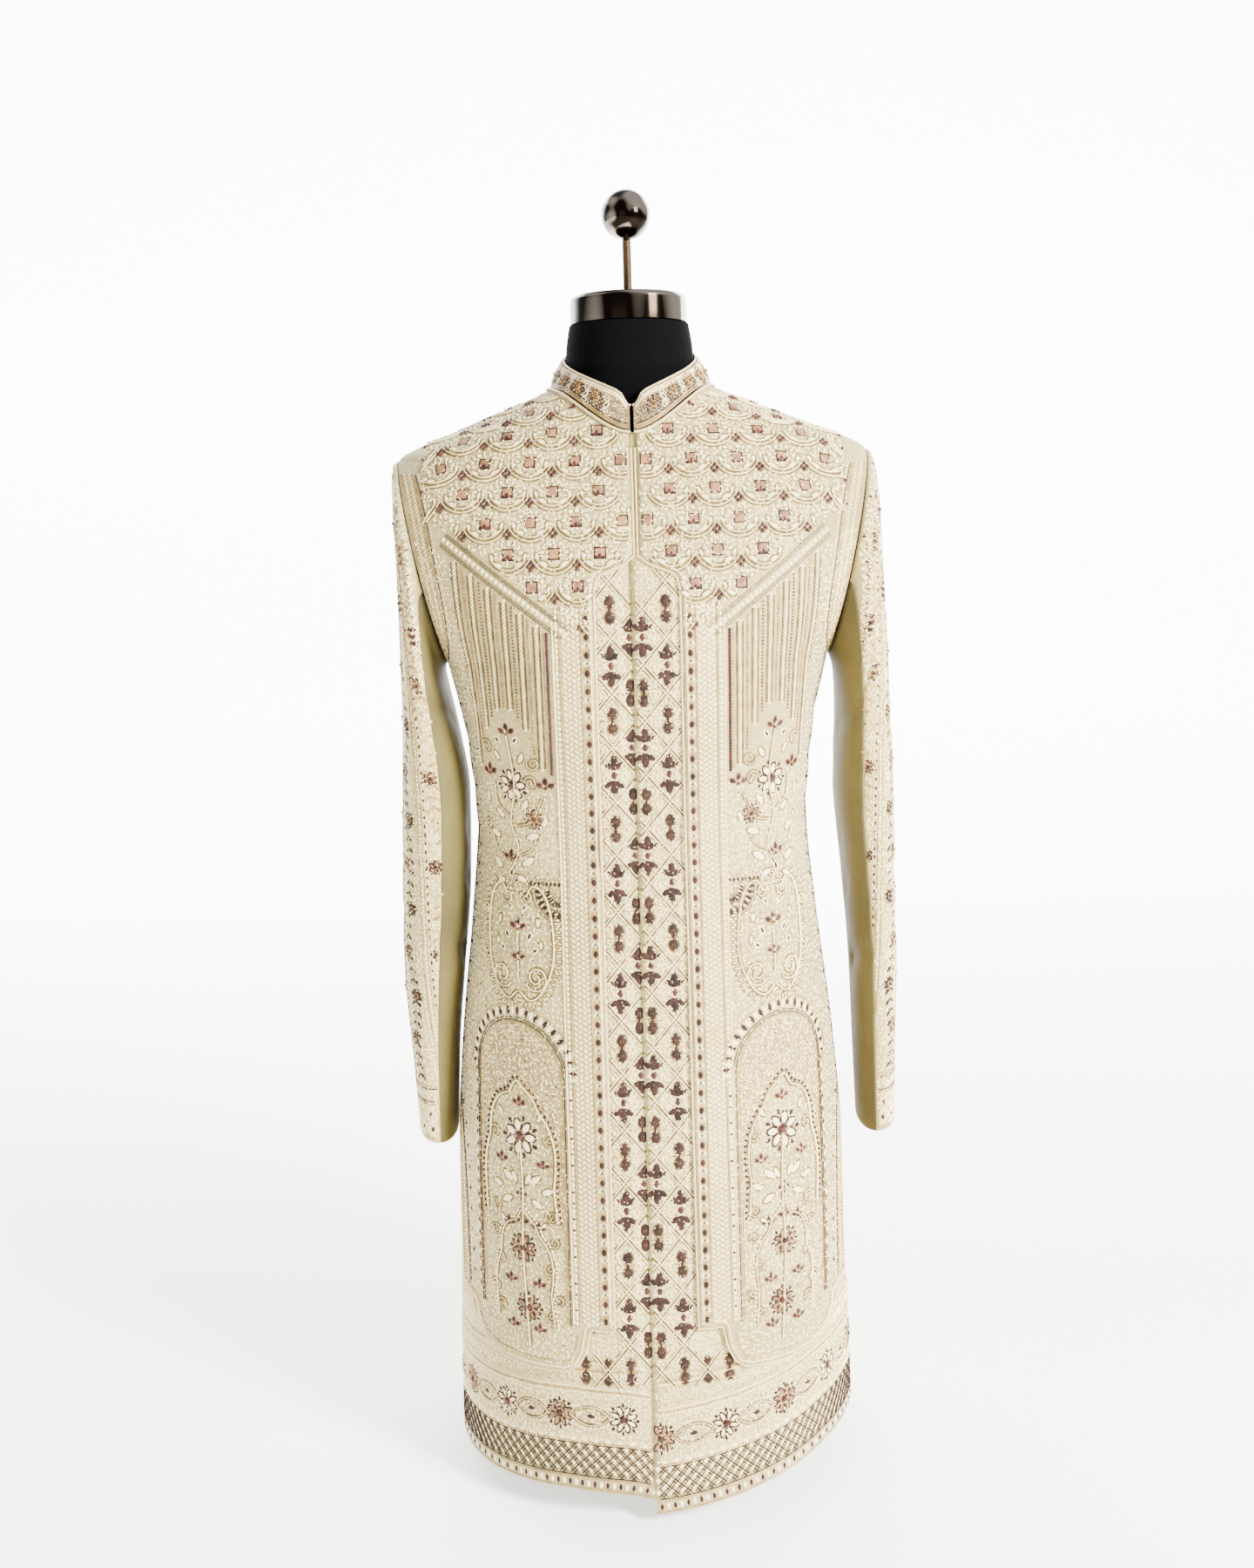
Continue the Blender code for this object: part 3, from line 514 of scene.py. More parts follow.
@dataclass(frozen=True)
class OverSizes:
    """The cutaway over-panel's own sizes: edge, hem, stand-off, as rows of (height, mm or m)."""

    wall: float = 0.0020
    side_across: float = 0.1985
    edge: tuple[tuple[float, float], ...] = (
        (0.1500, 0.0428), (0.9330, 0.0428), (0.9440, 0.0405), (0.9495, 0.0360),
        (0.9595, 0.0115), (0.9660, 0.0035), (1.1000, 0.0035))
    hem: tuple[tuple[float, float], ...] = (
        (0.0400, 0.2030), (0.0670, 0.2030), (0.0715, 0.1780), (0.0800, 0.1620), (0.0920, 0.1570),
        (0.1300, 0.1555), (0.1560, 0.1580), (0.1730, 0.1660), (0.1805, 0.1800), (0.1835, 0.1975),
        (0.2100, 0.1960))
    stand_off: tuple[tuple[float, float], ...] = (
        (0.1500, 0.0036), (0.4700, 0.0026), (0.6900, 0.0018), (0.9000, 0.0015), (1.0000, 0.0012),
        (1.1300, 0.0012))
    columns: tuple[float, ...] = (0.0, 0.055, 0.11, 0.135, 0.17, 0.22, 0.32, 0.43, 0.51, 0.59,
                                  0.66, 0.72, 0.787, 0.808, 0.87, 0.935, 1.0)

    def edge_turn(self, height: Array) -> Array:
        """The turn of the front edge at a height."""
        rows = np.array(self.edge)
        return BODY.turn_at(np.interp(height, rows[:, 0], rows[:, 1]), height)

    def side_turn(self, height: Array) -> Array:
        """The turn of the armhole, the side seam or the side vent at a height."""
        vent = BODY.turn_at(np.full_like(height, self.side_across), height)
        vent = np.minimum(1 - BODY.seam_turn, vent)
        return np.where(height > BODY.arm_bottom, BODY.armhole_turn(height), vent)

    def hem_height(self, turn: Array) -> Array:
        """The bottom edge's height at a turn."""
        rows = np.array(self.hem)
        across = BODY.point(1, np.full_like(turn, 0.2), np.clip(turn, 0, 1))[..., 0]
        return np.interp(across, rows[:, 0], rows[:, 1])

    def lift(self, height: Array) -> Array:
        """How far the outer face stands off the body surface."""
        rows = np.array(self.stand_off)
        return np.interp(height, rows[:, 0], rows[:, 1]) + self.wall


OVER = OverSizes()


@dataclass
class OverChart(BodyChart):
    """The cutaway over-panel, by arc and height."""

    margin: float = 2.0

    def lift(self, u: Array, v: Array) -> Array:
        """The over-panel's outer face."""
        return OVER.lift(np.asarray(v, float) / 1000) + 0 * np.asarray(u)

    def inside(self, u: Array, v: Array) -> Array:
        """Whether places lie on the panel, clear of its edges."""
        u, v = np.broadcast_arrays(np.asarray(u, float), np.asarray(v, float))
        height = v / 1000
        lay = {}
        for key, move in (("here", 0.0), ("in", -self.margin), ("out", self.margin)):
            lay[key] = self.turn(u + move, v)
        neck = np.interp(lay["here"], BODY.neck_turns, BODY.neck_heights)
        return ((lay["in"] > OVER.edge_turn(height)) & (lay["out"] < OVER.side_turn(height))
                & (height - self.margin * MM > OVER.hem_height(lay["here"]))
                & (height + self.margin * MM < neck))


@dataclass
class YokeChart(OverChart):
    """The over-panel's yoke: u across from the centre plane, v up the cloth from the chest line."""

    base: float = 893.0
    top: float = 1134.0
    tallest: float = 300.0
    grid_step: float = 2.0
    across_low: float = -10.0
    across_high: float = 240.0
    end_gap: float = 8.0
    shoulder_end: float = 208.0

    def __post_init__(self) -> None:
        """Measure the cloth up from the chest line at each distance from the centre."""
        super().__post_init__()
        xs = np.arange(self.across_low, self.across_high, self.grid_step)
        heights = np.arange(self.base, self.top, 1.0)
        x, high = np.meshgrid(xs, heights)
        turn = BODY.turn_at(x / 1000, high / 1000)
        points = BODY.point(1, high / 1000, turn) * 1000
        steps = np.linalg.norm(np.diff(points, axis=0)[..., 1:], axis=-1)
        lengths = np.concatenate([np.zeros((1, len(xs))), np.cumsum(steps, axis=0)])
        ups = np.arange(0.0, self.tallest, self.grid_step)
        self.heights = np.array([np.interp(ups, lengths[:, k], heights) for k in range(len(xs))]).T
        self.reach = np.stack([xs, lengths[-1] - self.end_gap])

    def body_place(self, u: Array, v: Array) -> tuple[Array, Array]:
        """The turn and the height of a yoke place."""
        height = read_grid(self.heights, np.asarray(v, float) / self.grid_step,
                           (np.asarray(u, float) - self.across_low) / self.grid_step)
        return BODY.turn_at(np.asarray(u, float) / 1000, height / 1000), height

    def lay(self, u: Array, v: Array, off: Array) -> Array:
        """Points of the yoke, standing off its face by mm."""
        turn, height = self.body_place(u, v)
        lift = OVER.lift(height / 1000) + np.asarray(off) * MM
        return self.surface.read(self.rows(height), (turn - self.turn_low) / self.turn_step, lift)

    def inside(self, u: Array, v: Array) -> Array:
        """Whether places lie on the yoke."""
        turn, height = self.body_place(u, v)
        low = self.body_place(np.asarray(u) - self.margin, v)[0]
        high = self.body_place(np.asarray(u) + self.margin, v)[0]
        neck = np.interp(turn, BODY.neck_turns, BODY.neck_heights)
        return ((low > OVER.edge_turn(height / 1000)) & (high < OVER.side_turn(height / 1000))
                & (high < 0.985) & (height / 1000 + 1.5 * self.margin * MM < neck)
                & (v < np.interp(u, *self.reach)) & (np.asarray(u) < self.shoulder_end))


@dataclass(frozen=True)
class CoatSizes:
    """The full-length coat's own sizes."""

    wall: float = 0.0020
    clear: float = 0.0004
    hem_level: float = 0.0220
    lap_edge: float = 0.0050
    lap_under: float = 0.0200
    sink_start: float = 0.0350
    sink_end: float = 0.0080
    back_seam: float = 0.0002
    hem: tuple[tuple[float, float, float], ...] = (
        (0.00, 0.0260, 0.0130), (0.10, 0.0330, 0.0180), (0.22, 0.0335, 0.0240),
        (0.40, 0.0295, 0.0330), (0.60, 0.0245, 0.0430), (0.80, 0.0220, 0.0460),
        (1.00, 0.0220, 0.0440), (1.50, 0.0220, 0.0300), (2.00, 0.0220, 0.0220))
    columns: tuple[float, ...] = (0.0, 0.055, 0.135, 0.22, 0.32, 0.43, 0.51, 0.59, 0.66, 0.72,
                                  0.808, 0.87, 0.935, 1.0)
    low_rows: tuple[float, ...] = (0.110, 0.205)
    skirt: tuple[float, ...] = (0.300, 0.370, 0.440, 0.510, 0.580, 0.650, 0.720, 0.790)
    chest: tuple[float, ...] = (0.862, 0.868, 0.882, 0.905, 0.933, 0.9595, 0.990, 1.020, 1.043,
                                1.056)
    shoulder: tuple[float, ...] = (1.063, 1.0695, 1.0763, 1.0835, 1.0912, 1.104, 1.117, 1.1295)

    def levels(self, parts: int) -> Array:
        """A full-length piece's levels from the hem up, each step cut in equal parts, as a column."""
        marks = (self.hem_level, *self.low_rows, *self.skirt, *self.chest, *self.shoulder)
        return refined(marks, parts)[:, None]

    def hem_height(self, side: int, turn: Array) -> Array:
        """The hem's height at a turn."""
        rows = np.array(self.hem)
        return monotone(rows[:, 0], rows[:, 1 if side < 0 else 2], np.abs(turn))

    def front_edge(self, side: int, height: Array) -> Array:
        """The turn of a front's centre edge."""
        across = -self.lap_edge if side > 0 else -self.lap_under
        return BODY.turn_at(np.full_like(height, across), height)

    def sink(self, side: int, across: Array) -> Array:
        """How far the left front sinks under the right one, in metres."""
        if side > 0:
            return 0 * across
        share = (self.sink_start - across) / (self.sink_start - self.sink_end)
        return -(self.wall + self.clear) * smooth(share)


COAT = CoatSizes()


@dataclass
class CoatChart(BodyChart):
    """A full-length coat front, by arc and height."""

    margin: float = 2.0

    def lift(self, u: Array, v: Array) -> Array:
        """The front's outer face, sunk where the other front laps over it."""
        return COAT.sink(self.side, np.asarray(u, float) / 1000) + 0 * np.asarray(v)

    def inside(self, u: Array, v: Array) -> Array:
        """Whether places show: off the over-panel and clear of the edges."""
        u, v = np.broadcast_arrays(np.asarray(u, float), np.asarray(v, float))
        height = v / 1000
        turn = self.turn(u, v)
        edge = self.turn(u - self.margin, v) > COAT.front_edge(self.side, height)
        if self.side < 0:
            edge = u > 6.5
        shown = edge & (v > COAT.hem_height(self.side, turn) * 1000 + 1.0) & (turn < 0.985)
        under = ((self.turn(u - 2.5, v) > OVER.edge_turn(height))
                 & (self.turn(u + 3.0, v) < OVER.side_turn(height))
                 & (height > OVER.hem_height(turn) + 0.002))
        return shown & ~under & (v < 965)


@dataclass
class HemChart(CoatChart):
    """A coat panel's hem: u is the arc, v the distance above the hem's own edge."""

    back: bool = False

    def lay(self, u: Array, v: Array, off: Array) -> Array:
        """Points at a distance above the hem."""
        return super().lay(u, self.height(u, v), off)

    def height(self, u: Array, v: Array) -> Array:
        """The height of a place above the hem, in mm."""
        rise = COAT.hem_height(self.side, self.turn(u, 0 * np.asarray(u, float) + 40.0)) * 1000
        return rise + np.asarray(v, float)

    def inside(self, u: Array, v: Array) -> Array:
        """Whether places on the hem show."""
        if not self.back:
            return super().inside(u, self.height(u, v))
        turn = self.turn(u, self.height(u, v))
        return (turn > 1.015) & (turn < 1.992) & (np.asarray(v) > 1.0)


@dataclass(frozen=True)
class Ring:
    """One ring of the sleeves: outer and inner points of both sides and the depth front to back."""

    outer_left: float
    inner_left: float
    outer_right: float
    inner_right: float
    outer_z: float
    inner_z: float
    half_depth: float
    centre_y: float
    power: float


@dataclass
class SleeveChart(Chart):
    """A sleeve: u is the arc round from its outer line (to the front above 0), v the way down, mm.

    Each fold has its way down, arc, reach, width and depth.
    """

    side: int
    around: int = 289
    seam: float = math.radians(106)
    seam_gap: float = 0.004
    armhole_gap: float = 0.0012
    head_front: float = 0.0036
    head_back: float = 0.0012
    head_blend: float = math.radians(30)
    wall: float = 0.0020
    fold_lean: float = 0.35
    fold_shift: float = 14.0
    arc_step: float = 3.0
    row_step: float = 3.0
    rings: tuple[Ring, ...] = (
        Ring(0.2433, 0.2005, 0.2435, 0.2005, 1.0610, 0.8545, 0.0800, 0.000, 2.05),
        Ring(0.2440, 0.2022, 0.2470, 0.2022, 1.0420, 0.8500, 0.0812, 0.000, 2.10),
        Ring(0.2440, 0.2022, 0.2500, 0.2042, 1.0080, 0.8445, 0.0820, 0.000, 2.15),
        Ring(0.2433, 0.2018, 0.2520, 0.2058, 0.9600, 0.8370, 0.0822, 0.000, 2.20),
        Ring(0.2432, 0.1990, 0.2550, 0.2069, 0.9050, 0.8250, 0.0818, -0.001, 2.25),
        Ring(0.2440, 0.1925, 0.2580, 0.2075, 0.8300, 0.7980, 0.0800, -0.002, 2.30),
        Ring(0.2483, 0.1812, 0.2623, 0.2045, 0.7300, 0.7220, 0.0755, -0.004, 2.35),
        Ring(0.2532, 0.1840, 0.2635, 0.2120, 0.6300, 0.6270, 0.0710, -0.006, 2.35),
        Ring(0.2553, 0.1938, 0.2648, 0.2190, 0.5340, 0.5320, 0.0660, -0.009, 2.30),
        Ring(0.2508, 0.2022, 0.2630, 0.2215, 0.4550, 0.4530, 0.0610, -0.012, 2.25),
        Ring(0.2458, 0.2075, 0.2620, 0.2245, 0.3640, 0.3560, 0.0555, -0.016, 2.20),
    )
    folds: tuple[tuple[float, float, float, float, float], ...] = (
        (300.0, -35.0, 60.0, 9.0, -0.0016),
        (335.0, 70.0, 75.0, 11.0, -0.0018),
        (372.0, 20.0, 55.0, 9.0, -0.0014),
        (405.0, 105.0, 70.0, 12.0, -0.0016),
        (350.0, 175.0, 60.0, 10.0, -0.0020),
        (300.0, 190.0, 55.0, 9.0, -0.0018),
        (425.0, 165.0, 70.0, 12.0, -0.0020),
        (510.0, 185.0, 60.0, 12.0, -0.0016),
        (150.0, 150.0, 70.0, 13.0, -0.0018),
        (230.0, -90.0, 80.0, 13.0, -0.0020),
        (470.0, -60.0, 60.0, 11.0, -0.0014),
    )

    def __post_init__(self) -> None:
        """Lay the rings and a smooth sleeve through them."""
        self.flip = self.side
        self.angles = np.linspace(-math.pi, math.pi, self.around)
        rows = np.stack([self.head_row()] + [self.ring_row(ring) for ring in self.rings])
        steps = np.linalg.norm(np.diff(rows, axis=0), axis=-1).mean(axis=1) * 1000
        keys = np.concatenate([[0.0], np.cumsum(steps)])
        self.length = keys[-1]
        downs = np.arange(0.0, self.length + self.row_step, self.row_step)
        flat = [monotone(keys, rows[:, k, axis], downs)
                for k in range(rows.shape[1]) for axis in range(3)]
        grid = np.array(flat).T.reshape(len(downs), rows.shape[1], 3)
        run = np.linalg.norm(np.diff(grid, axis=1), axis=-1) * 1000
        arcs = np.concatenate([np.zeros((len(downs), 1)), np.cumsum(run, axis=1)], axis=1)
        arcs -= arcs[:, [len(self.angles) // 2]]
        plain = SurfaceGrid(grid, self.side)
        shift = np.zeros(arcs.shape)
        for down, arc, reach, width, depth in self.folds:
            lean = self.fold_lean * (arcs - arc)
            off = downs[:, None] - down - self.fold_shift * self.side - lean
            shift += depth * np.exp(-(off / width) ** 2 - ((arcs - arc) / reach * 1.4) ** 4)
        self.surface = SurfaceGrid(grid + plain.normals * shift[..., None], self.side)
        self.keys = np.arange(-220.0, 340.0, self.arc_step)
        columns = np.arange(len(self.angles))
        self.columns = np.array([np.interp(self.keys, row, columns) for row in arcs])
        self.arcs = arcs

    def head_row(self) -> Array:
        """The sleeve's head, along the armhole's edge."""
        cosine, sine = np.cos(self.angles), np.sin(self.angles)
        half = (BODY.arm_top - BODY.arm_bottom) / 2
        height = BODY.arm_bottom + half + half * 0.999 * cosine
        turn = BODY.armhole_turn(height)
        turn = np.where(sine < 0, 2 - turn, turn)
        back = smooth(-self.angles / self.head_blend)
        back = np.where(cosine < 0, smooth(-sine / math.sin(self.head_blend)), back)
        lift = self.head_front + (self.head_back - self.head_front) * back
        points = BODY.point(self.side, height, turn)
        points = points + BODY.normal(self.side, height, turn) * lift[..., None]
        return points + np.array([self.side * self.armhole_gap, 0, 0])

    def ring_row(self, ring: Ring) -> Array:
        """One ring of the sleeve."""
        reach = 2 / ring.power
        cosine = np.sign(np.cos(self.angles)) * np.abs(np.cos(self.angles)) ** reach
        sine = np.sign(np.sin(self.angles)) * np.abs(np.sin(self.angles)) ** reach
        inner = ring.inner_left if self.side < 0 else ring.inner_right
        outer = ring.outer_left if self.side < 0 else ring.outer_right
        share = (1 + cosine) / 2
        return np.stack([self.side * (inner + (outer - inner) * share),
                         ring.centre_y - ring.half_depth * sine,
                         ring.inner_z + (ring.outer_z - ring.inner_z) * share], -1)

    def lay(self, u: Array, v: Array, off: Array) -> Array:
        """Points of the sleeve, standing off its face by mm."""
        rows = np.asarray(v, float) / self.row_step
        columns = read_grid(self.columns, rows, (np.asarray(u, float) - self.keys[0]) / self.arc_step)
        return self.surface.read(rows, columns, np.asarray(off) * MM)

    def seam_arc(self, v: Array) -> Array:
        """The arc of the front seam between the top sleeve and the under-sleeve."""
        column = (self.seam + math.pi) / (2 * math.pi) * (len(self.angles) - 1)
        rows = np.asarray(v, float) / self.row_step
        return read_grid(self.arcs, rows, np.full_like(rows, column))

    def inside(self, u: Array, v: Array) -> Array:
        """Whether places lie on the top sleeve."""
        u, v = np.broadcast_arrays(np.asarray(u, float), np.asarray(v, float))
        return (u < self.seam_arc(v) - 2.0) & (u > -60) & (v > 5) & (v < self.length - 2.5)


@dataclass
class CollarChart(Chart):
    """The collar's outer face: u is the arc round from the centre back, v the way up, in mm."""

    side: int = 1
    gap_degrees: float = 1.2
    top_half_width: float = 0.0690
    top_front: float = 0.0810
    top_back: float = 0.0685
    bulge: float = 0.0010
    lift_front: float = 0.0037
    lift_back: float = 0.0005
    base_gap: float = 0.0018
    wall: float = 0.0025
    rows: int = 24
    rim: tuple[tuple[float, float], ...] = (
        (0.0, 1.1085), (3.0, 1.1095), (6.0, 1.1145), (9.0, 1.1205), (13.0, 1.1238), (24.0, 1.1298),
        (41.0, 1.1385), (60.0, 1.1475), (85.0, 1.1585), (107.0, 1.1665), (140.0, 1.1710),
        (180.0, 1.1720))

    def __post_init__(self) -> None:
        """Lay the collar's grid and measure it."""
        self.degrees = np.concatenate([np.arange(self.gap_degrees, 13, 0.6), np.arange(13, 347, 2.0),
                                       np.arange(347, 360 - self.gap_degrees + 0.01, 0.6)])
        base = self.base_line(self.degrees)
        angle = np.radians(self.degrees)
        fore = np.cos(angle)
        rim = np.array(self.rim)
        half = np.where(self.degrees <= 180, self.degrees, 360 - self.degrees)
        depth = np.where(fore > 0, self.top_front, self.top_back)
        top = np.stack([self.top_half_width * np.sin(angle), -fore * depth,
                        np.interp(half, rim[:, 0], rim[:, 1])], -1)
        share = np.linspace(0, 1, self.rows + 1)[:, None, None]
        points = base[None] + (top - base)[None] * share
        outward = unit(points * [1, 1, 0])
        self.surface = SurfaceGrid(points + outward * (self.bulge * np.sin(np.pi * share)), 1)
        middle = self.surface.points[self.rows // 2]
        run = np.linalg.norm(np.diff(middle, axis=0), axis=-1) * 1000
        self.arcs = np.concatenate([[0.0], np.cumsum(run)])
        self.length = self.arcs[-1]
        self.heights = np.linalg.norm(top - base, axis=-1) * 1000

    def neck_place(self, degrees: Array) -> tuple[Array, Array, Array]:
        """Points of the neckline at angles round it, the cloth's normals there and the turns."""
        degrees = degrees % 360
        right = (degrees <= 180)[:, None]
        turns, heights = BODY.neck_row(np.radians(np.minimum(degrees, 360 - degrees)))
        points = np.where(right, BODY.point(1, heights, turns), BODY.point(-1, heights, turns))
        normals = np.where(right, BODY.normal(1, heights, turns), BODY.normal(-1, heights, turns))
        return points, normals, turns

    def base_line(self, degrees: Array) -> Array:
        """The collar's base at angles round the neck."""
        here, normal, turns = self.neck_place(degrees)
        along = self.neck_place(degrees + 1)[0] - self.neck_place(degrees - 1)[0]
        away = unit(np.cross(along, normal))
        lift = self.lift_front + (self.lift_back - self.lift_front) * smooth((turns - 1) / 0.25)
        return here + normal * lift[:, None] - away * self.base_gap

    def lay(self, u: Array, v: Array, off: Array) -> Array:
        """Points of the collar, u from its right front end round, v up from its base."""
        columns = np.interp(u, self.arcs, np.arange(len(self.arcs)))
        tall = np.interp(u, self.arcs, self.heights)
        return self.surface.read(np.asarray(v, float) / tall * self.rows, columns, np.asarray(off) * MM)

    def tall(self, u: Array) -> Array:
        """The collar's own height at an arc."""
        return np.interp(u, self.arcs, self.heights)

    def inside(self, u: Array, v: Array) -> Array:
        """Whether places lie on the collar, clear of its bindings."""
        return (u > 1.5) & (u < self.length - 1.5) & (v > 0.8) & (v < self.tall(u) - 0.8)


def resampled(path: Sequence[Sequence[float]], step: float) -> Array:
    """Points at equal steps along a path.

    Args:
        path: the path's corners, in mm.
        step: the spacing wanted, in mm.

    Returns:
        The points, first and last included.
    """
    path = np.asarray(path, float)
    lengths = np.concatenate([[0.0], np.cumsum(np.linalg.norm(np.diff(path, axis=0), axis=1))])
    count = max(2, int(round(lengths[-1] / step)) + 1)
    at = np.linspace(0, lengths[-1], count)
    return np.stack([np.interp(at, lengths, path[:, k]) for k in (0, 1)], -1)


def headings(path: Array) -> Array:
    """The direction of a path at each of its points, as angles."""
    run = np.gradient(path, axis=0)
    return np.arctan2(run[:, 1], run[:, 0])


def curve(*corners: Sequence[float], step: float = 2.0) -> Array:
    """A smooth path through corners, as a spline.

    Args:
        corners: the places it runs through.
        step: the spacing of the path's points.

    Returns:
        The path.
    """
    points = np.asarray(corners, float)
    padded = np.concatenate([2 * points[:1] - points[1:2], points, 2 * points[-1:] - points[-2:-1]])
    s = np.linspace(0, 1, 9)[:-1, None]
    pieces = []
    for a, b, c, d in zip(padded, padded[1:], padded[2:], padded[3:]):
        pieces.append(0.5 * (2 * b + (c - a) * s + (2 * a - 5 * b + 4 * c - d) * s ** 2
                             + (3 * b - a - 3 * c + d) * s ** 3))
    return resampled(np.concatenate(pieces + [points[-1:]]), step)


def spiral(centre: Sequence[float], radius: float, start: float, turns: float) -> Array:
    """A scroll that winds in to its centre.

    Args:
        centre: its middle.
        radius: its outer radius.
        start: the angle where it begins.
        turns: how often it goes round; below 0 clockwise.

    Returns:
        The path, from outside in.
    """
    share = np.linspace(0, 1, int(14 * abs(turns)) + 4)
    angle = start + 2 * math.pi * turns * share
    reach = radius * (1 - 0.82 * share)
    return np.stack([centre[0] + reach * np.cos(angle), centre[1] + reach * np.sin(angle)], -1)


def ring_path(centre: Sequence[float], radius: float) -> Array:
    """A circle as a path."""
    angle = np.linspace(0, 2 * math.pi, max(10, int(radius * 2.4)) + 1)
    return np.stack([centre[0] + radius * np.cos(angle), centre[1] + radius * np.sin(angle)], -1)


def mirrored(path: Array, centre: float) -> Array:
    """A path turned over an upright line."""
    return np.stack([2 * centre - path[:, 0], path[:, 1]], -1)


def covers(outline: Array, u: Array, v: Array) -> Array:
    """Whether places lie inside a closed outline."""
    inside = np.zeros(np.shape(u), bool)
    for (ax, ay), (bx, by) in zip(outline, np.roll(outline, -1, axis=0)):
        if ay != by:
            inside ^= ((ay > v) != (by > v)) & (u < (bx - ax) * (v - ay) / (by - ay) + ax)
    return inside


class Embroidery:
    """The needlework on one chart. It gathers stamps and cords, then sets them as joined meshes."""

    def __init__(self, name: str, chart: Chart) -> None:
        """Start with nothing sewn.

        Args:
            name: the start of the pieces' names.
            chart: the cloth it lies on.
        """
        self.name = name
        self.chart = chart
        self.batches: dict[tuple[Finish, bool], list[tuple[Array, Array]]] = {}
        self.limit: Callable[[Array, Array], Array] | None = None

    def allowed(self, u: Array, v: Array) -> Array:
        """Whether places may be sewn: on the piece, and inside the present limit."""
        ok = self.chart.inside(u, v)
        return ok & self.limit(u, v) if self.limit else ok

    def add(self, finish: Finish, faceted: bool, points: Array, faces: Array) -> None:
        """Keep a batch of points and faces."""
        self.batches.setdefault((finish, faceted), []).append((points, faces))

    def stamps(self, finish: Finish, stamp: Stamp, u: Array, v: Array, length: float | Array,
               width: float | Array | None = None, height: float = 0.6,
               turn: float | Array = 0.0) -> None:
        """Set many of one small shape.

        Args:
            finish: their thread, bead or stone.
            stamp: their shape.
            u: their places across.
            v: their places up.
            length: half their length, in mm.
            width: half their width, or None for round ones.
            height: how high they stand, in mm.
            turn: the angle of their length from the chart's u.
        """
        width = length if width is None else width
        u, v, length, width, turn = (np.array(a, float).ravel() for a in
                                     np.broadcast_arrays(u, v, length, width, turn))
        keep = self.allowed(u, v)
        u, v, length, width, turn = (a[keep] for a in (u, v, length, width, turn))
        if not len(u):
            return
        points, faces = STAMPS[stamp]
        base = self.chart.lay(u, v, np.full_like(u, -0.05))
        along, up, out = self.chart.axes(u, v)
        cosine, sine = np.cos(turn)[:, None], np.sin(turn)[:, None]
        first, second = along * cosine + up * sine, up * cosine - along * sine
        placed = (base[:, None] + (first * length[:, None])[:, None] * points[None, :, :1] * MM
                  + (second * width[:, None])[:, None] * points[None, :, 1:2] * MM
                  + out[:, None] * points[None, :, 2:] * height * MM)
        winding = faces if self.chart.flip > 0 else faces[:, ::-1]
        index = winding[None] + (np.arange(len(u)) * len(points))[:, None, None]
        self.add(finish, stamp in FACETED, placed.reshape(-1, 3), index.reshape(-1, 3))

    def cord(self, finish: Finish, path: Array, width: float = 1.2, height: float = 0.7,
             step: float = 2.5) -> None:
        """Lay a raised cord along a path.

        Args:
            finish: its thread.
            path: the path, in mm.
            width: its full width, in mm.
            height: how high it stands, in mm.
            step: the length of its pieces, in mm.
        """
        path = resampled(path, step)
        keep = self.allowed(path[:, 0], path[:, 1])
        edges = np.flatnonzero(np.diff(np.concatenate([[False], keep, [False]]).astype(int)))
        for start, end in zip(edges[::2], edges[1::2]):
            if end - start < 2:
                continue
            run = path[start:end]
            turn = headings(run)[:, None]
            base = self.chart.lay(run[:, 0], run[:, 1], np.full(len(run), -0.1))
            along, up, out = self.chart.axes(run[:, 0], run[:, 1])
            side = (up * np.cos(turn) - along * np.sin(turn)) * width / 2 * MM
            points = np.stack([base + side, base + out * (height + 0.1) * MM, base - side], 1)
            k = 3 * np.arange(len(run) - 1)[:, None]
            quads = np.array([[0, 1, 4], [0, 4, 3], [1, 2, 5], [1, 5, 4]]).reshape(1, -1)
            faces = (k + quads).reshape(-1, 3)
            if self.chart.flip > 0:
                faces = faces[:, ::-1]
            self.add(finish, False, points.reshape(-1, 3), faces)

    def double(self, finish: Finish, path: Array, gap: float = 2.2, width: float = 1.0,
               height: float = 0.6) -> None:
        """Lay two cords side by side along a path, gap apart."""
        path = resampled(path, 2.5)
        turn = headings(path)
        across = np.stack([-np.sin(turn), np.cos(turn)], -1) * gap / 2
        for side in (-1, 1):
            self.cord(finish, path + across * side, width, height)

    def string(self, finish: Finish, stamp: Stamp, path: Array, pitch: float, length: float,
               width: float | None = None, height: float = 0.6, lean: float = 0.0,
               offset: float = 0.0) -> None:
        """Set a row of one small shape along a path.

        Args:
            finish: their thread, bead or stone.
            stamp: their shape.
            path: the path, in mm.
            pitch: their spacing, in mm.
            length: half their length, in mm.
            width: half their width, in mm.
            height: how high they stand, in mm.
            lean: the angle of their length from the path.
            offset: how far off the path they lie, to its left.
        """
        path = resampled(path, pitch)
        turn = headings(path)
        path = path + np.stack([-np.sin(turn), np.cos(turn)], -1) * offset
        self.stamps(finish, stamp, path[:, 0], path[:, 1], length, width, height, turn + lean)

    def rope(self, finish: Finish, path: Array, width: float = 2.4, pitch: float = 1.9,
             height: float = 0.8, lean: float = 0.65) -> None:
        """Lay a twisted cord of leaning stitches along a path."""
        self.string(finish, Stamp.STITCH, path, pitch, width * 0.72, pitch * 0.46, height, lean)

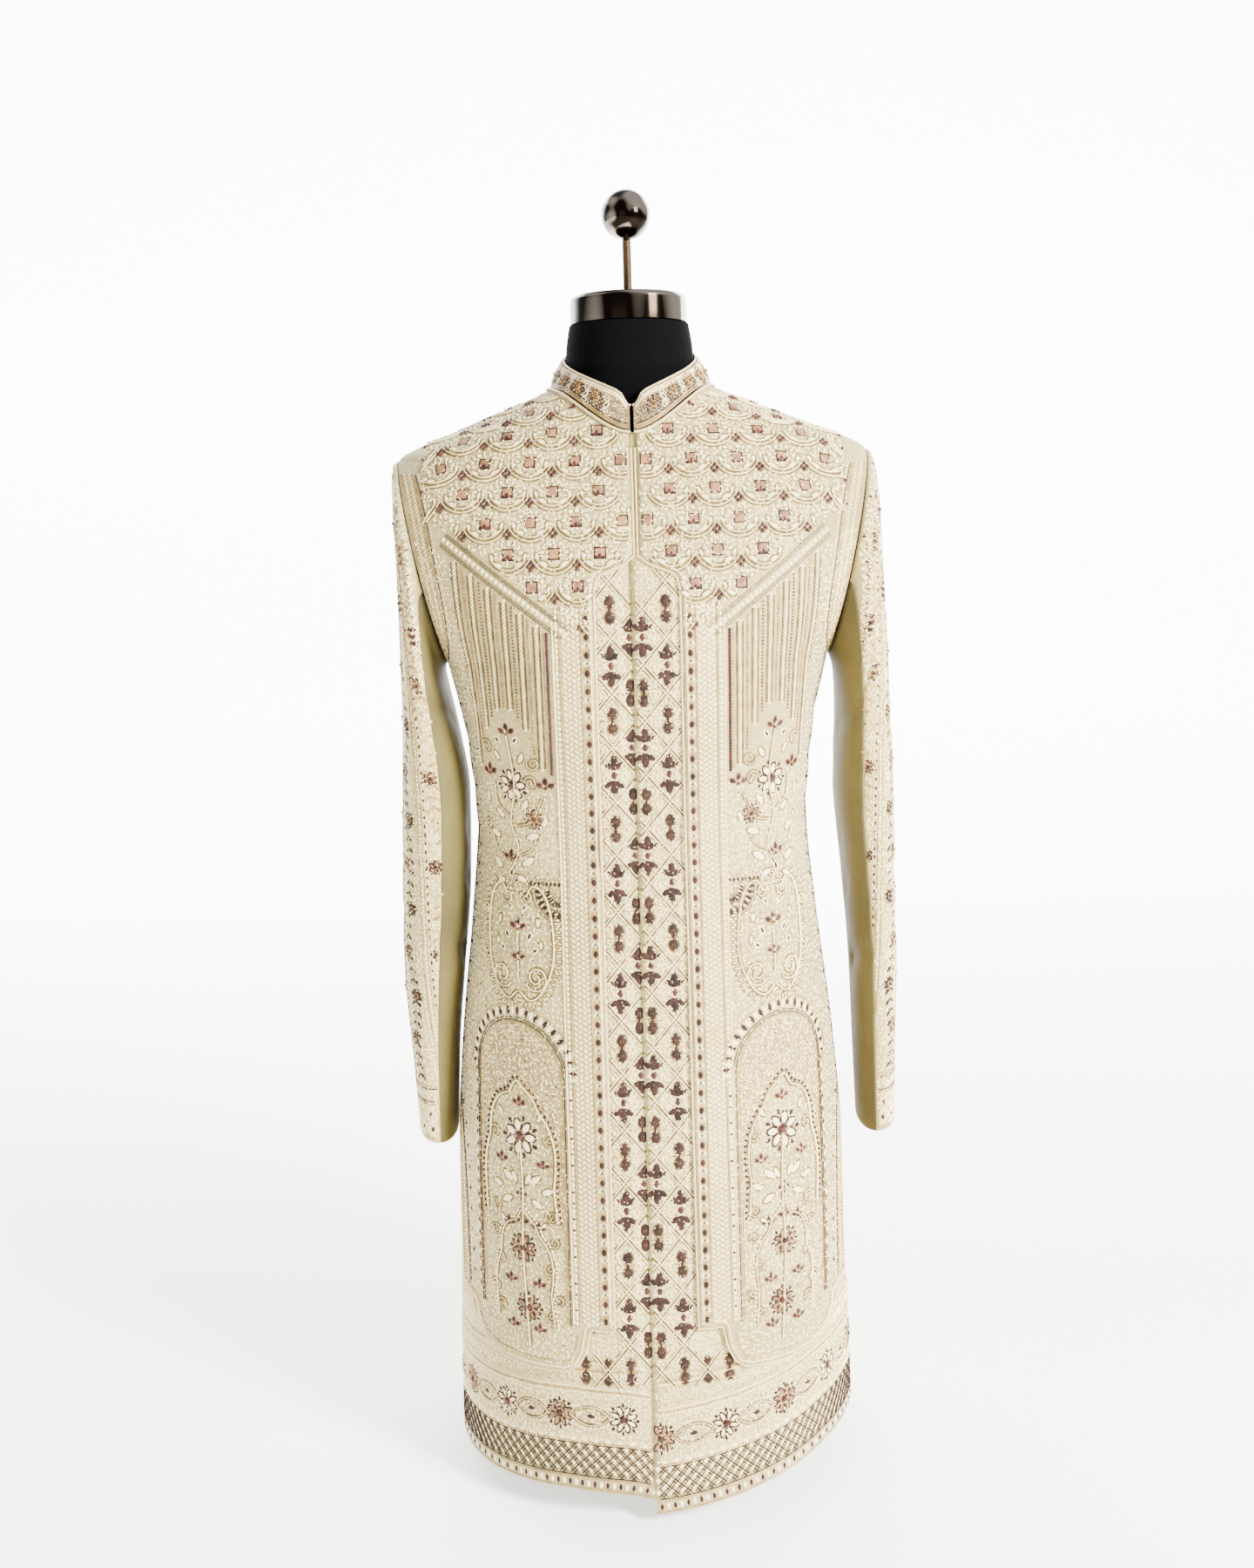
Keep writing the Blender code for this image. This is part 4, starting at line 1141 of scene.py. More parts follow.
    def build(self) -> list[bpy.types.Object]:
        """Join each finish in one mesh.

        Returns:
            The pieces.
        """
        made = []
        for (finish, faceted), batch in self.batches.items():
            counts = np.cumsum([0] + [len(points) for points, _ in batch])
            points = np.concatenate([points for points, _ in batch])
            faces = np.concatenate([faces + start for (_, faces), start in zip(batch, counts)])
            name = f"{self.name}_{finish.value}" + ("_stones" if faceted else "")
            made.append(add_mesh(name, points, faces, NEEDLEWORK[finish], not faceted))
        total = sum(len(piece.data.polygons) for piece in made)
        log.info("%s: %d pieces, %d triangles", self.name, len(made), total)
        return made


def put(name: str, data: bpy.types.ID) -> bpy.types.Object:
    """Put a mesh, a light or a camera in the scene as an object."""
    made = bpy.data.objects.new(name, data)
    bpy.context.scene.collection.objects.link(made)
    return made


def add_mesh(name: str, points: Array, faces: Array, material: bpy.types.Material,
             soft: bool = True) -> bpy.types.Object:
    """Make a mesh object from arrays.

    Args:
        name: the object's name.
        points: its vertices, in metres.
        faces: its triangles or quads.
        material: its material.
        soft: whether it is shaded smooth.

    Returns:
        The object.
    """
    mesh = bpy.data.meshes.new(name)
    corners = faces.shape[1]
    mesh.vertices.add(len(points))
    mesh.vertices.foreach_set("co", points.astype(np.float32).ravel())
    mesh.loops.add(faces.size)
    mesh.loops.foreach_set("vertex_index", faces.astype(np.int32).ravel())
    mesh.polygons.add(len(faces))
    mesh.polygons.foreach_set("loop_start", np.arange(0, faces.size, corners, dtype=np.int32))
    mesh.polygons.foreach_set("use_smooth", np.full(len(faces), soft))
    mesh.update(calc_edges=True)
    mesh.materials.append(material)
    made = put(name, mesh)
    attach(made, "root")
    return made


class Needle(Embroidery):
    """Embroidery that knows the coat's motifs: flowers, leaves, sprigs, borders and grounds."""

    def flower(self, u: float, v: float, radius: float, petals: int = 8,
               petal: Finish = Finish.ROSE, heart: Finish = Finish.MAROON) -> None:
        """A flower of padded petals with a dark outline round a stone.

        Args:
            u: its middle across.
            v: its middle up.
            radius: its radius, in mm.
            petals: how many petals it has.
            petal: the thread that fills them.
            heart: its stone.
        """
        angle = 2 * math.pi * (np.arange(petals) + 0.5) / petals
        wide = radius * 2.1 / petals
        pu, pv = u + 0.62 * radius * np.cos(angle), v + 0.62 * radius * np.sin(angle)
        self.stamps(Finish.BROWN, Stamp.LEAF, pu, pv, radius * 0.46, wide, 1.0, angle)
        self.stamps(petal, Stamp.LEAF, pu, pv, radius * 0.46 - 1.5, wide - 1.2, 1.9, angle)
        between = angle + math.pi / petals
        self.stamps(Finish.BROWN, Stamp.LEAF, u + radius * np.cos(between), v + radius * np.sin(between),
                    radius * 0.18, radius * 0.12, 1.2, between)
        self.string(Finish.GOLD, Stamp.SEED, ring_path((u, v), radius * 0.34), 1.6, 0.9, height=2.0)
        self.stamps(heart, Stamp.STONE, u, v, radius * 0.27, None, 2.6)

    def leaves(self, places: Sequence[Sequence[float]], finish: Finish = Finish.BROWN) -> None:
        """Padded leaves with a rim, from rows of (u, v, half length, turn in degrees)."""
        rows = np.asarray(places, float)
        u, v, half, turn = rows.T
        # a cream leaf's rim is painted shade; other leaves get a real cream rim
        rim = Finish.SHADE if finish is Finish.CREAM else Finish.CREAM
        self.stamps(rim, Stamp.LEAF, u, v, half + 1.3, half * 0.5 + 1.2, 0.9, np.radians(turn))
        self.stamps(finish, Stamp.LEAF, u, v, half, half * 0.5, 1.8, np.radians(turn))

    def bud(self, u: float, v: float, half: float = 4.6) -> None:
        """Three dark drops in rose rims, with a stone at their foot."""
        for lean, kind in ((0, Finish.BROWN), (62, Finish.BROWN), (-62, Finish.MAROON)):
            turn = math.radians(90 + lean)
            place = (u + 1.55 * half * math.cos(turn), v + 1.55 * half * math.sin(turn))
            self.stamps(Finish.ROSE, Stamp.LEAF, *place, half + 1.4, half * 0.62 + 1.0, 1.0, turn)
            self.stamps(kind, Stamp.LEAF, *place, half, half * 0.66, 2.2, turn)
        self.stamps(Finish.BRONZE, Stamp.STONE, u, v, half * 0.45, None, 2.2)

    def raised(self, path: Array, width: float = 1.5) -> None:
        """A raised cream cord on a wider, darker flat cord of painted shade that outlines it."""
        # the wide SHADE cord is painted shade round the raised cord
        self.cord(Finish.SHADE, path, width + 3.8, 0.8)
        self.cord(Finish.CREAM, path, width, width + 0.3)

    def twig(self, path: Array, pitch: float, half: float, finish: Finish) -> None:
        """A gold stem with a pair of leaves at every pitch."""
        self.cord(Finish.GOLD, path, 1.0, 0.6)
        for side in (-1, 1):
            self.string(finish, Stamp.LEAF, path, pitch, half, half * 0.42, 1.0,
                        lean=side * 0.85, offset=side * half * 0.75)

    def scrolls(self, path: Array, pitch: float, radius: float) -> None:
        """A running row of cream scrolls, each on the other side of the path, with a bead in its eye."""
        places = resampled(path, pitch)
        turn = headings(places)
        for k, ((u, v), heading) in enumerate(zip(places, turn)):
            way = 1 if k % 2 else -1
            curl = spiral((u, v), radius, heading + math.pi, 1.35 * way)
            self.cord(Finish.CREAM, curl, 1.3, 1.2, step=1.8)
        self.stamps(Finish.PEARL, Stamp.PEARL, places[:, 0], places[:, 1], 0.9, None, 1.0)

    def ground(self, low: Sequence[float], high: Sequence[float], pitch: float,
               finish: Finish = Finish.CREAM, half: float = 1.5, swirl: float = 11.0,
               seed: int = 1) -> None:
        """Close stitches that swirl over the ground between the motifs.

        Args:
            low: the lowest u and v.
            high: the highest u and v.
            pitch: the spacing of the stitches, in mm.
            finish: their thread.
            half: half their length.
            swirl: the size of the swirls, in mm.
            seed: which scatter is used.
        """
        chance = np.random.default_rng(seed)
        u, v = np.meshgrid(np.arange(low[0], high[0], pitch), np.arange(low[1], high[1], pitch))
        u = u.ravel() + chance.uniform(-0.35, 0.35, u.size) * pitch
        v = v.ravel() + chance.uniform(-0.35, 0.35, v.size) * pitch
        turn = 3.0 * np.sin(u / swirl + 1.7 * np.sin(v / swirl * 0.8)) + 2.0 * np.cos(v / swirl)
        self.stamps(finish, Stamp.LEAF, u, v, half, half * 0.42, 1.0, turn)

    def sequins(self, low: Sequence[float], high: Sequence[float], pitch: float,
                finishes: Sequence[Finish], half: float = 0.8, seed: int = 2) -> None:
        """Tiny beads scattered in several colours."""
        chance = np.random.default_rng(seed)
        u, v = np.meshgrid(np.arange(low[0], high[0], pitch), np.arange(low[1], high[1], pitch))
        u = u.ravel() + chance.uniform(-0.3, 0.3, u.size) * pitch
        v = v.ravel() + chance.uniform(-0.3, 0.3, v.size) * pitch
        kind = chance.integers(0, len(finishes), u.size)
        for index, finish in enumerate(finishes):
            self.stamps(finish, Stamp.SEED, u[kind == index], v[kind == index], half, None, 0.8)

    def marquises(self, path: Array, pitch: float, half: float, first: Finish, second: Finish,
                  lean: float = QUARTER) -> None:
        """A row of marquise stones in two colours by turns, across the path."""
        places = resampled(path, pitch)
        turn = headings(places) + lean
        for start, finish in ((0, first), (1, second)):
            self.stamps(finish, Stamp.LEAF, places[start::2, 0], places[start::2, 1], half,
                        half * 0.5, 1.2, turn[start::2])


@dataclass
class Placket:
    """The lattice, fleurs and leaf pairs down the centre of a coat front."""

    side: int
    pitch: float = 54.0
    first: float = 861.0
    low: float = 141.0
    high: float = 955.0
    column: float = 27.0
    spacing: float = 23.0

    def sew(self, work: Needle) -> None:
        """Set the whole placket."""
        half = self.pitch / 2
        for k in range(-26, 30):
            start = self.first - half + k * self.pitch
            for way in (-1, 1):
                path = np.array([(self.column + s * self.spacing, start + way * s * half)
                                 for s in np.linspace(-2.2, 1.6, 20)])
                path = path[(path[:, 1] > self.low) & (path[:, 1] < self.high)]
                if len(path) > 1:
                    # a wide flat cord of painted shade under each double cream cord
                    work.cord(Finish.SHADE, path, 6.6, 0.8)
                    work.double(Finish.CREAM, path, 3.2, 1.6, 1.7)
        rows = np.arange(self.low + 8, self.high, half)
        near = self.column - self.spacing if self.side > 0 else 9.0
        for column, drop in ((self.column, 0.0), (near, half)):
            for k in range(-1, 15):
                v = self.first - drop - k * self.pitch
                if v > self.low + 10:
                    (self.fleur if (k + (drop > 0)) % 2 == 0 else self.leaf_pair)(work, column, v)
            for v in rows:
                for way in (-1, 1):
                    for lift in (-8, 8):
                        work.cord(Finish.CREAM, spiral((column + way * 9.4, v + lift), 4.4,
                                                       QUARTER * way, 1.2 * way), 1.4, 1.5, step=1.7)
        work.stamps(Finish.CRYSTAL, Stamp.STONE, np.full(len(rows), self.column + 11.5), rows, 1.5,
                    None, 1.6)
        for column in (self.column + self.spacing, self.column + 2 * self.spacing):
            self.leaf_pair(work, column, self.low + 17.0)

    def fleur(self, work: Needle, u: float, v: float) -> None:
        """A brown fleur, a small red diamond and the fleur upside down."""
        for way in (-1, 1):
            foot = v + way * 6.4
            for lean, half in ((0, 7.6), (58, 5.8), (-58, 5.8)):
                turn = math.radians(90 + way * lean)
                reach = half * 0.92 + abs(lean) * 0.01
                work.stamps(Finish.BROWN, Stamp.LEAF, u + way * reach * math.cos(turn),
                            foot + way * reach * math.sin(turn), half, half * 0.56, 1.9, turn)
            work.stamps(Finish.BROWN, Stamp.LEAF, u, foot + way * 0.4, 4.2, 1.9, 2.1)
            work.cord(Finish.CREAM, np.array([(u - 6.4, v + way * 1.4), (u, v + way * 5.0),
                                              (u + 6.4, v + way * 1.4)]), 0.8, 2.2)
        work.stamps(Finish.MAROON, Stamp.LEAF, u, v, 4.0, 3.0, 2.2, QUARTER)
        work.stamps(Finish.PEARL, Stamp.PEARL, [u - 7.0, u + 7.0], v, 1.4, None, 1.6)

    def leaf_pair(self, work: Needle, u: float, v: float) -> None:
        """A veined leaf up and one down, with a thin gold cross line between."""
        for way in (-1, 1):
            # the wider SHADE leaf under each brown leaf is painted shade
            work.stamps(Finish.SHADE, Stamp.LEAF, u, v + way * 7.4, 8.2, 6.6, 0.9, QUARTER)
            work.stamps(Finish.BROWN, Stamp.LEAF, u, v + way * 7.4, 7.2, 5.6, 2.0, QUARTER)
            for lean in (-24, 0, 24):
                work.stamps(Finish.GOLD, Stamp.STITCH, u - lean * 0.05, v + way * (8.0 - abs(lean) * 0.05),
                            3.2, 0.4, 2.5, math.radians(90 + way * lean))
        work.cord(Finish.GOLD, np.array([(u - 12, v), (u + 12, v)]), 1.6, 1.4)
        work.stamps(Finish.BROWN, Stamp.STONE, u, v, 1.5, None, 2.2)


@dataclass
class Hem:
    """The bands round the skirt's hem, by distance above it."""

    side: int
    first: float = 1.0
    flower_pitch: float = 67.0
    start: float = -6.0
    end: float = 340.0

    def line(self, v: float) -> Array:
        """A level path along the hem."""
        return np.array([(self.start, v), (self.end, v)])

    def sew(self, work: Needle) -> None:
        """Set all the bands."""
        for v, finish in ((2.0, Finish.GOLD), (13.0, Finish.GOLD), (15.2, Finish.BROWN),
                          (48.0, Finish.BROWN), (50.5, Finish.GOLD), (104.0, Finish.GOLD),
                          (107.0, Finish.CREAM), (132.0, Finish.CREAM), (135.0, Finish.GOLD)):
            work.cord(finish, self.line(v), 1.4, 0.9, step=5.0)
        work.marquises(self.line(7.5), 6.6, 3.6, Finish.PEARL, Finish.BROWN)
        work.string(Finish.PEARL, Stamp.SEED, self.line(54.0), 3.2, 0.9, height=0.9)
        work.string(Finish.PEARL, Stamp.SEED, self.line(101.0), 3.2, 0.9, height=0.9)
        self.lattice(work)
        self.flowers(work)
        work.scrolls(self.line(119.5), 13.5, 6.2)
        work.string(Finish.GOLD, Stamp.LEAF, self.line(126.5), 13.5, 2.6, 1.1, 0.8, lean=0.9)
        work.string(Finish.GOLD, Stamp.LEAF, self.line(112.5), 13.5, 2.6, 1.1, 0.8, lean=0.9)

    def lattice(self, work: Needle, low: float = 16.0, high: float = 47.5, pitch: float = 12.2) -> None:
        """The lattice on point, of brown double lines with a pale diamond in each opening."""
        tall = high - low
        for start in np.arange(self.start - tall, self.end, pitch):
            for way in (-1, 1):
                path = np.array([(start + (tall if way < 0 else 0), low),
                                 (start + (0 if way < 0 else tall), high)])
                work.double(Finish.BROWN, path, 2.8, 1.2, 0.9)
        u, v = np.meshgrid(np.arange(self.start, self.end, pitch), np.arange(low, high, pitch))
        for shift in (0.0, pitch / 2):
            work.stamps(Finish.CREAM, Stamp.LEAF, u + shift + (high - low) % pitch / 2, v + shift + 6.1,
                        2.8, 2.8, 1.1, QUARTER)

    def flowers(self, work: Needle, middle: float = 77.5) -> None:
        """Eight-petalled flowers with pointed ovals between them."""
        for u in np.arange(self.first, self.end, self.flower_pitch):
            work.flower(u, middle, 14.5, 8, Finish.ROSE if round(u) % 2 else Finish.CREAM)
            oval = u + self.flower_pitch / 2
            angle = np.linspace(0, 2 * math.pi, 33)
            edge = np.stack([oval + 19.5 * np.cos(angle),
                             middle + 9.5 * np.sin(angle) * (1 - 0.55 * np.abs(np.cos(angle)) ** 3)], -1)
            work.raised(edge, 1.3)
            work.string(Finish.CREAM, Stamp.STITCH, edge, 2.6, 1.8, 0.6, 0.8, lean=QUARTER, offset=-2.4)
            work.limit = lambda pu, pv, edge=edge: covers(edge, pu, pv)
            work.sequins((oval - 20, middle - 10), (oval + 20, middle + 10), 2.5,
                         (Finish.ROSE, Finish.BRONZE, Finish.CREAM), 0.8)
            work.limit = None
            work.stamps(Finish.BROWN, Stamp.LEAF, oval, middle, 4.6, 2.4, 1.8)
            for way in (-1, 1):
                fan = oval + np.linspace(-16, 16, 7)
                work.stamps(Finish.GOLD, Stamp.LEAF, fan, middle + way * (17 - np.abs(fan - oval) * 0.22),
                            2.6, 0.8, 0.8, QUARTER - (fan - oval) * 0.02 * way)


@dataclass
class OverLayout:
    """The over-panel's zones, in arcs and heights: borders, yoke, cables, flowers, arch and tongue."""

    side: int
    chart: OverChart = field(init=False)
    yoke: YokeChart = field(init=False)

    def __post_init__(self) -> None:
        """Set up both charts."""
        self.chart = OverChart(self.side)
        self.yoke = YokeChart(self.side)

    def arc_at(self, across: Array, v: Array) -> Array:
        """The arc of points by their distance from the centre plane."""
        keys = np.arange(0.0, 330.0, 2.0)
        return np.array([np.interp(x, self.chart.across(keys, np.full_like(keys, h)), keys)
                         for x, h in zip(across, v)])

    def edge_path(self, inset: float) -> Array:
        """The panel's free edge from the notch down round the tongue and up the vent, moved in."""
        edge, hem = np.array(OVER.edge) * 1000, np.array(OVER.hem) * 1000
        down = np.concatenate([np.arange(960.0, 932.0, -4.0), np.arange(930.0, 206.0, -20.0)])
        bottom = hem[1:-1]
        side = np.arange(206.0, 372.0, 12.0)
        across = np.concatenate([np.interp(down, edge[:, 0], edge[:, 1]), bottom[:, 0],
                                 np.full(len(side), 198.5)])
        heights = np.concatenate([down, bottom[:, 1], side])
        path = resampled(np.stack([self.arc_at(across, heights), heights], -1), 3.0)
        turn = headings(path)
        return path + np.stack([-np.sin(turn), np.cos(turn)], -1) * inset

    def sew(self) -> list[bpy.types.Object]:
        """Set the whole panel."""
        work = Needle(f"over_work_{SIDE_NAMES[self.side]}", self.chart)
        self.borders(work)
        self.basket(work)
        self.diagonal(work)
        self.cables(work)
        self.flower_group(work)
        self.paisleys(work)
        self.arch(work)
        self.side_column(work)
        self.grounds(work)
        above = Needle(f"yoke_work_{SIDE_NAMES[self.side]}", self.yoke)
        self.scales(above)
        return work.build() + above.build()

    def borders(self, work: Needle) -> None:
        """The plain border along the free edge, between gold cords."""
        work.cord(Finish.CREAM, self.edge_path(3.0), 1.4, 1.2)
        tongue = self.edge_path(9.0)
        tongue = tongue[(tongue[:, 0] > 78) & (tongue[:, 1] < 430)]
        work.cord(Finish.GOLD, tongue, 1.6, 1.0)
        work.string(Finish.PEARL, Stamp.SEED, tongue, 3.0, 0.8, height=0.9, offset=3.0)

    def basket(self, work: Needle) -> None:
        """The basket-weave column beside the front edge, with its drops and its chain."""
        rows = np.arange(212.0, 925.0, 17.4)
        work.stamps(Finish.GOLD, Stamp.LEAF, 49.5, rows, 6.0, 4.2, 1.0, QUARTER)
        work.stamps(Finish.BROWN, Stamp.LEAF, 49.5, rows - 0.6, 4.4, 3.1, 2.2, QUARTER)
        for way in (-1, 1):
            work.stamps(Finish.CREAM, Stamp.LEAF, 49.5 + way * 2.6, rows + 8.7, 3.0, 1.2, 1.5,
                        QUARTER + way * 0.5)
        work.stamps(Finish.CRYSTAL, Stamp.STONE, 49.5, rows + 8.7, 1.3, None, 1.6)
        u, v = np.meshgrid(np.arange(58.0, 75.0, 4.6), np.arange(208.0, 918.0, 5.4))
        column = np.round((u - 58.0) / 4.6) % 2
        work.stamps(Finish.CREAM, Stamp.STITCH, u, v + 2.7 * column, 3.2, 1.35, 1.9,
                    np.where(column > 0, 0.6, -0.6))
        for u in (55.0, 75.6):
            work.cord(Finish.GOLD, np.array([(u, 206), (u, 920)]), 1.2, 1.1, step=6.0)
        chain = np.arange(207.0, 918.0, 5.4)
        work.stamps(Finish.CREAM, Stamp.PEARL, 78.8, chain, 2.1, None, 1.3)
        work.stamps(Finish.GOLD, Stamp.SEED, 78.8, chain, 1.1, None, 2.0)
        work.cord(Finish.CREAM, np.array([(82.4, 206), (82.4, 905)]), 1.6, 1.4, step=6.0)

    def diagonal(self, work: Needle) -> None:
        """The band under the yoke: two double brown lines with rings between them."""
        middle = np.array([(70.0, 893.0), (190.0, 985.0)])
        across = np.array([-0.61, 0.79])
        for shift in (-5.6, 5.6):
            work.double(Finish.BROWN, middle + across * shift, 2.2, 0.9, 0.9)
        rings = resampled(middle, 5.6)
        work.stamps(Finish.CREAM, Stamp.PEARL, rings[:, 0], rings[:, 1], 2.3, None, 1.2)
        work.stamps(Finish.BROWN, Stamp.SEED, rings[:, 0], rings[:, 1], 0.9, None, 1.9)
        for shift in (-9.5, 9.5):
            work.string(Finish.GOLD, Stamp.SEED, middle + across * shift, 3.2, 0.8, height=0.8)

    def cables(self, work: Needle) -> None:
        """The upright cables and bead rows between the diagonal and the flowers."""
        feet = {98: 760, 106: 775, 114: 800, 122: 812, 130: 820, 138: 822, 146: 820, 154: 812, 163: 800,
                171: 784, 180: 760}
        for index, (u, low) in enumerate(feet.items()):
            high = 893.0 + (u - 70.0) * 92.0 / 120.0 - 14.0
            path = np.array([(u, low), (u, high)])
            if index % 2 == 0:
                # a wide flat cord of painted shade under the cream rope
                work.cord(Finish.SHADE, path, 7.6, 0.9, step=8.0)
                work.rope(Finish.CREAM, path, 6.0, 3.6, 2.4)
                for way in (-1, 1):
                    work.cord(Finish.BROWN, path + [way * 3.6, 0], 0.6, 0.5, step=8.0)
            else:
                work.rope(Finish.GOLD, path, 3.2, 3.0, 1.6, -0.65)
                work.string(Finish.MAROON if index % 4 == 3 else Finish.ROSE, Stamp.SEED, path, 3.4, 1.5,
                            height=2.4)
        work.string(Finish.MAROON, Stamp.PEARL, np.array([(88, 755), (88, 893)]), 3.0, 2.0, height=2.0)
        work.cord(Finish.GOLD, np.array([(91.5, 755), (91.5, 895)]), 1.0, 0.7, step=6.0)

    def flower_group(self, work: Needle) -> None:
        """The spray of flowers, buds and leaves under the cables."""
        stem = curve((140, 652), (129, 676), (137, 705), (131, 745), (139, 800))
        work.raised(stem)
        for path in (curve((130, 700), (112, 706), (100, 730)), curve((136, 708), (154, 722), (158, 745)),
                     curve((132, 668), (114, 676), (108, 688)), curve((136, 664), (156, 672), (166, 690))):
            work.raised(path, 1.2)
        work.leaves([(120, 722, 7.5, 125), (152, 712, 7.5, 40), (112, 690, 8.5, 165), (160, 690, 8.5, 20),
                     (118, 664, 9.0, 150), (158, 660, 9.0, 30), (122, 770, 6.5, 120), (152, 772, 6.5, 60),
                     (170, 728, 7.0, 75), (98, 706, 6.5, 110), (126, 646, 7.0, 205), (154, 642, 7.0, -25)],
                    Finish.CREAM)
        work.flower(134, 742, 16.5, 7, Finish.CREAM)
        work.flower(110, 708, 10.5, 6, Finish.ROSE)
        for u, v in ((138, 794), (96, 740), (164, 752), (139, 664)):
            work.bud(u, v)
        work.leaves([(139, 652, 5.0, 90), (128, 788, 4.0, 130), (150, 788, 4.0, 50)])
        for u, v, way in ((112, 745, 1), (172, 700, -1), (108, 765, -1), (166, 780, 1)):
            work.raised(spiral((u, v), 7.5, 0.4, 1.5 * way), 1.2)

    def paisleys(self, work: Needle) -> None:
        """The facing pair of scrolled paisleys, the stone sprig in them and the fan beside them."""
        half = curve((122, 628), (113, 640), (100, 630), (93, 602), (93, 566), (104, 538), (119, 526),
                     (131, 534))
        belly = spiral((112, 549), 14.0, math.radians(-30), -1.6)
        for shape in (half, mirrored(half, 133), belly, mirrored(belly, 133)):
            work.raised(shape, 2.0)
            work.string(Finish.GOLD, Stamp.SEED, shape, 3.4, 0.9, height=2.6)
        for shape, way in ((half, 1), (mirrored(half, 133), -1)):
            # the SHADE leaves under the cream ones are painted shade
            for finish, half, wide, high in ((Finish.SHADE, 4.8, 2.6, 0.8), (Finish.CREAM, 3.2, 1.3, 1.7)):
                work.string(finish, Stamp.LEAF, shape, 5.6, half, wide, high, lean=QUARTER,
                            offset=-6.0 * way)
        for u, v, radius, way in ((121, 628, 7.5, 1), (145, 628, 7.5, -1), (133, 645, 5.0, 1),
                                  (178, 566, 6.5, 1), (180, 612, 6.5, -1)):
            work.raised(spiral((u, v), radius, 0.0, 1.5 * way))
            work.stamps(Finish.BROWN, Stamp.STONE, u, v, 1.4, None, 2.0)
        work.raised(np.array([(133, 548), (133, 606)]))
        work.bud(133, 596, 4.6)
        work.bud(133, 566, 3.8)
        for way in (-1, 1):
            work.leaves([(133 + way * 14, 590, 4.4, 90 - way * 25), (133 + way * 20, 576, 3.8, 90 - way * 50),
                         (133 + way * 9, 618, 3.4, 90 - way * 20)])
            work.leaves([(133 + way * 24, 604, 5.4, 90 + way * 10), (133 + way * 27, 582, 5.0, 90 + way * 5)],
                        Finish.CREAM)
        angle = np.radians(np.arange(-86, 1, 14))
        for reach, size in ((13, 3.4), (24, 4.4)):
            work.stamps(Finish.BROWN, Stamp.LEAF, 84 + reach * np.cos(angle), 636 + reach * np.sin(angle),
                        size, size * 0.5, 1.6, angle)
        for reach in (7, 18, 29):
            fan = np.stack([84 + reach * np.cos(angle), 636 + reach * np.sin(angle)], -1)
            work.raised(fan, 1.0)
        dashes = np.arange(85.0, 116.0, 4.4)
        work.stamps(Finish.BROWN, Stamp.STITCH, dashes, 643.0, 3.2, 1.9, 1.6, QUARTER)
        for v in (638.5, 647.5):
            work.cord(Finish.GOLD, np.array([(84, v), (116, v)]), 1.0, 1.0)

    def arch(self, work: Needle) -> None:
        """The arched panel: rays, dome, glitter, the lobed arch and the flowering stem."""
        middle, reach, spring = 139.0, 55.0, 451.0
        angle = np.linspace(math.pi, 0, 40)
        dome = np.stack([middle + reach * np.cos(angle), spring + reach * np.sin(angle)], -1)
        outline = np.concatenate([[(middle - reach, 205)], dome, [(middle + reach, 205)]])
        work.double(Finish.BROWN, outline, 2.6, 1.2, 1.0)
        work.double(Finish.GOLD, self.shrunk(outline, middle, 4.2), 2.2, 1.1, 0.9)
        work.marquises(self.shrunk(dome, middle, -8.0), 5.6, 4.8, Finish.CREAM, Finish.BROWN)
        work.cord(Finish.GOLD, self.shrunk(dome, middle, -14.0), 1.3, 0.9)
        for way in (-1, 1):
            post = np.array([(middle + way * (reach + 5.0), 215), (middle + way * (reach + 5.0), spring)])
            work.marquises(post, 6.5, 2.8, Finish.CREAM, Finish.BROWN, lean=0.0)
        lobes = self.lobed(middle, 43.0, 340.0, 96.0)
        inner = self.shrunk(outline, middle, 7.5)
        work.limit = lambda u, v: covers(inner, u, v) & ~covers(lobes, u, v) & (v > 300)
        work.sequins((82, 300), (196, 510), 2.3,
                     (Finish.ROSE, Finish.CREAM, Finish.BRONZE, Finish.ROSE, Finish.GOLD), 0.95)
        work.limit = None
        work.raised(lobes, 2.0)
        beads = self.shrunk(lobes, middle, -4.0)
        work.string(Finish.BROWN, Stamp.PEARL, beads, 6.0, 1.7, height=1.8)
        work.string(Finish.GOLD, Stamp.PEARL, beads, 6.0, 1.5, height=1.2, offset=0.5)
        second = self.lobed(middle - 3, 34.0, 232.0, 74.0)
        work.raised(second, 1.6)
        work.string(Finish.CREAM, Stamp.PEARL, self.shrunk(second, middle, -3.4), 4.4, 1.4, height=1.3)
        stem = curve((131, 176), (133, 213), (136, 275), (134, 330), (136, 388))
        work.raised(stem, 1.8)
        work.flower(136, 388, 19, 7, Finish.CREAM)
        work.flower(136, 275, 14.5)
        work.flower(131, 215, 14)
        cross = np.array([(136, 330), (131, 330), (141, 330), (136, 325), (136, 335)])
        work.stamps(Finish.MAROON, Stamp.STONE, cross[:, 0], cross[:, 1], 2.0, None, 1.6)
        work.leaves([(120, 346, 8.5, 145), (152, 346, 8.5, 35), (118, 322, 8.0, 205), (154, 322, 8.0, -25),
                     (112, 300, 6.0, 130), (160, 300, 6.0, 50), (112, 410, 6.0, 120), (160, 410, 6.0, 60),
                     (106, 336, 7.5, 165), (166, 336, 7.5, 15), (128, 346, 7.0, 115), (144, 346, 7.0, 65)],
                    Finish.CREAM)
        for v, out in ((192, 16), (238, 17), (296, 18), (360, 25)):
            for way in (-1, 1):
                work.bud(135 + way * out, v, 3.6)
        work.bud(136, 420, 3.8)
        work.bud(136, 300, 3.4)
        for v, out in ((388, 33), (312, 33), (258, 30), (210, 30), (286, 35), (228, 38)):
            for way in (-1, 1):
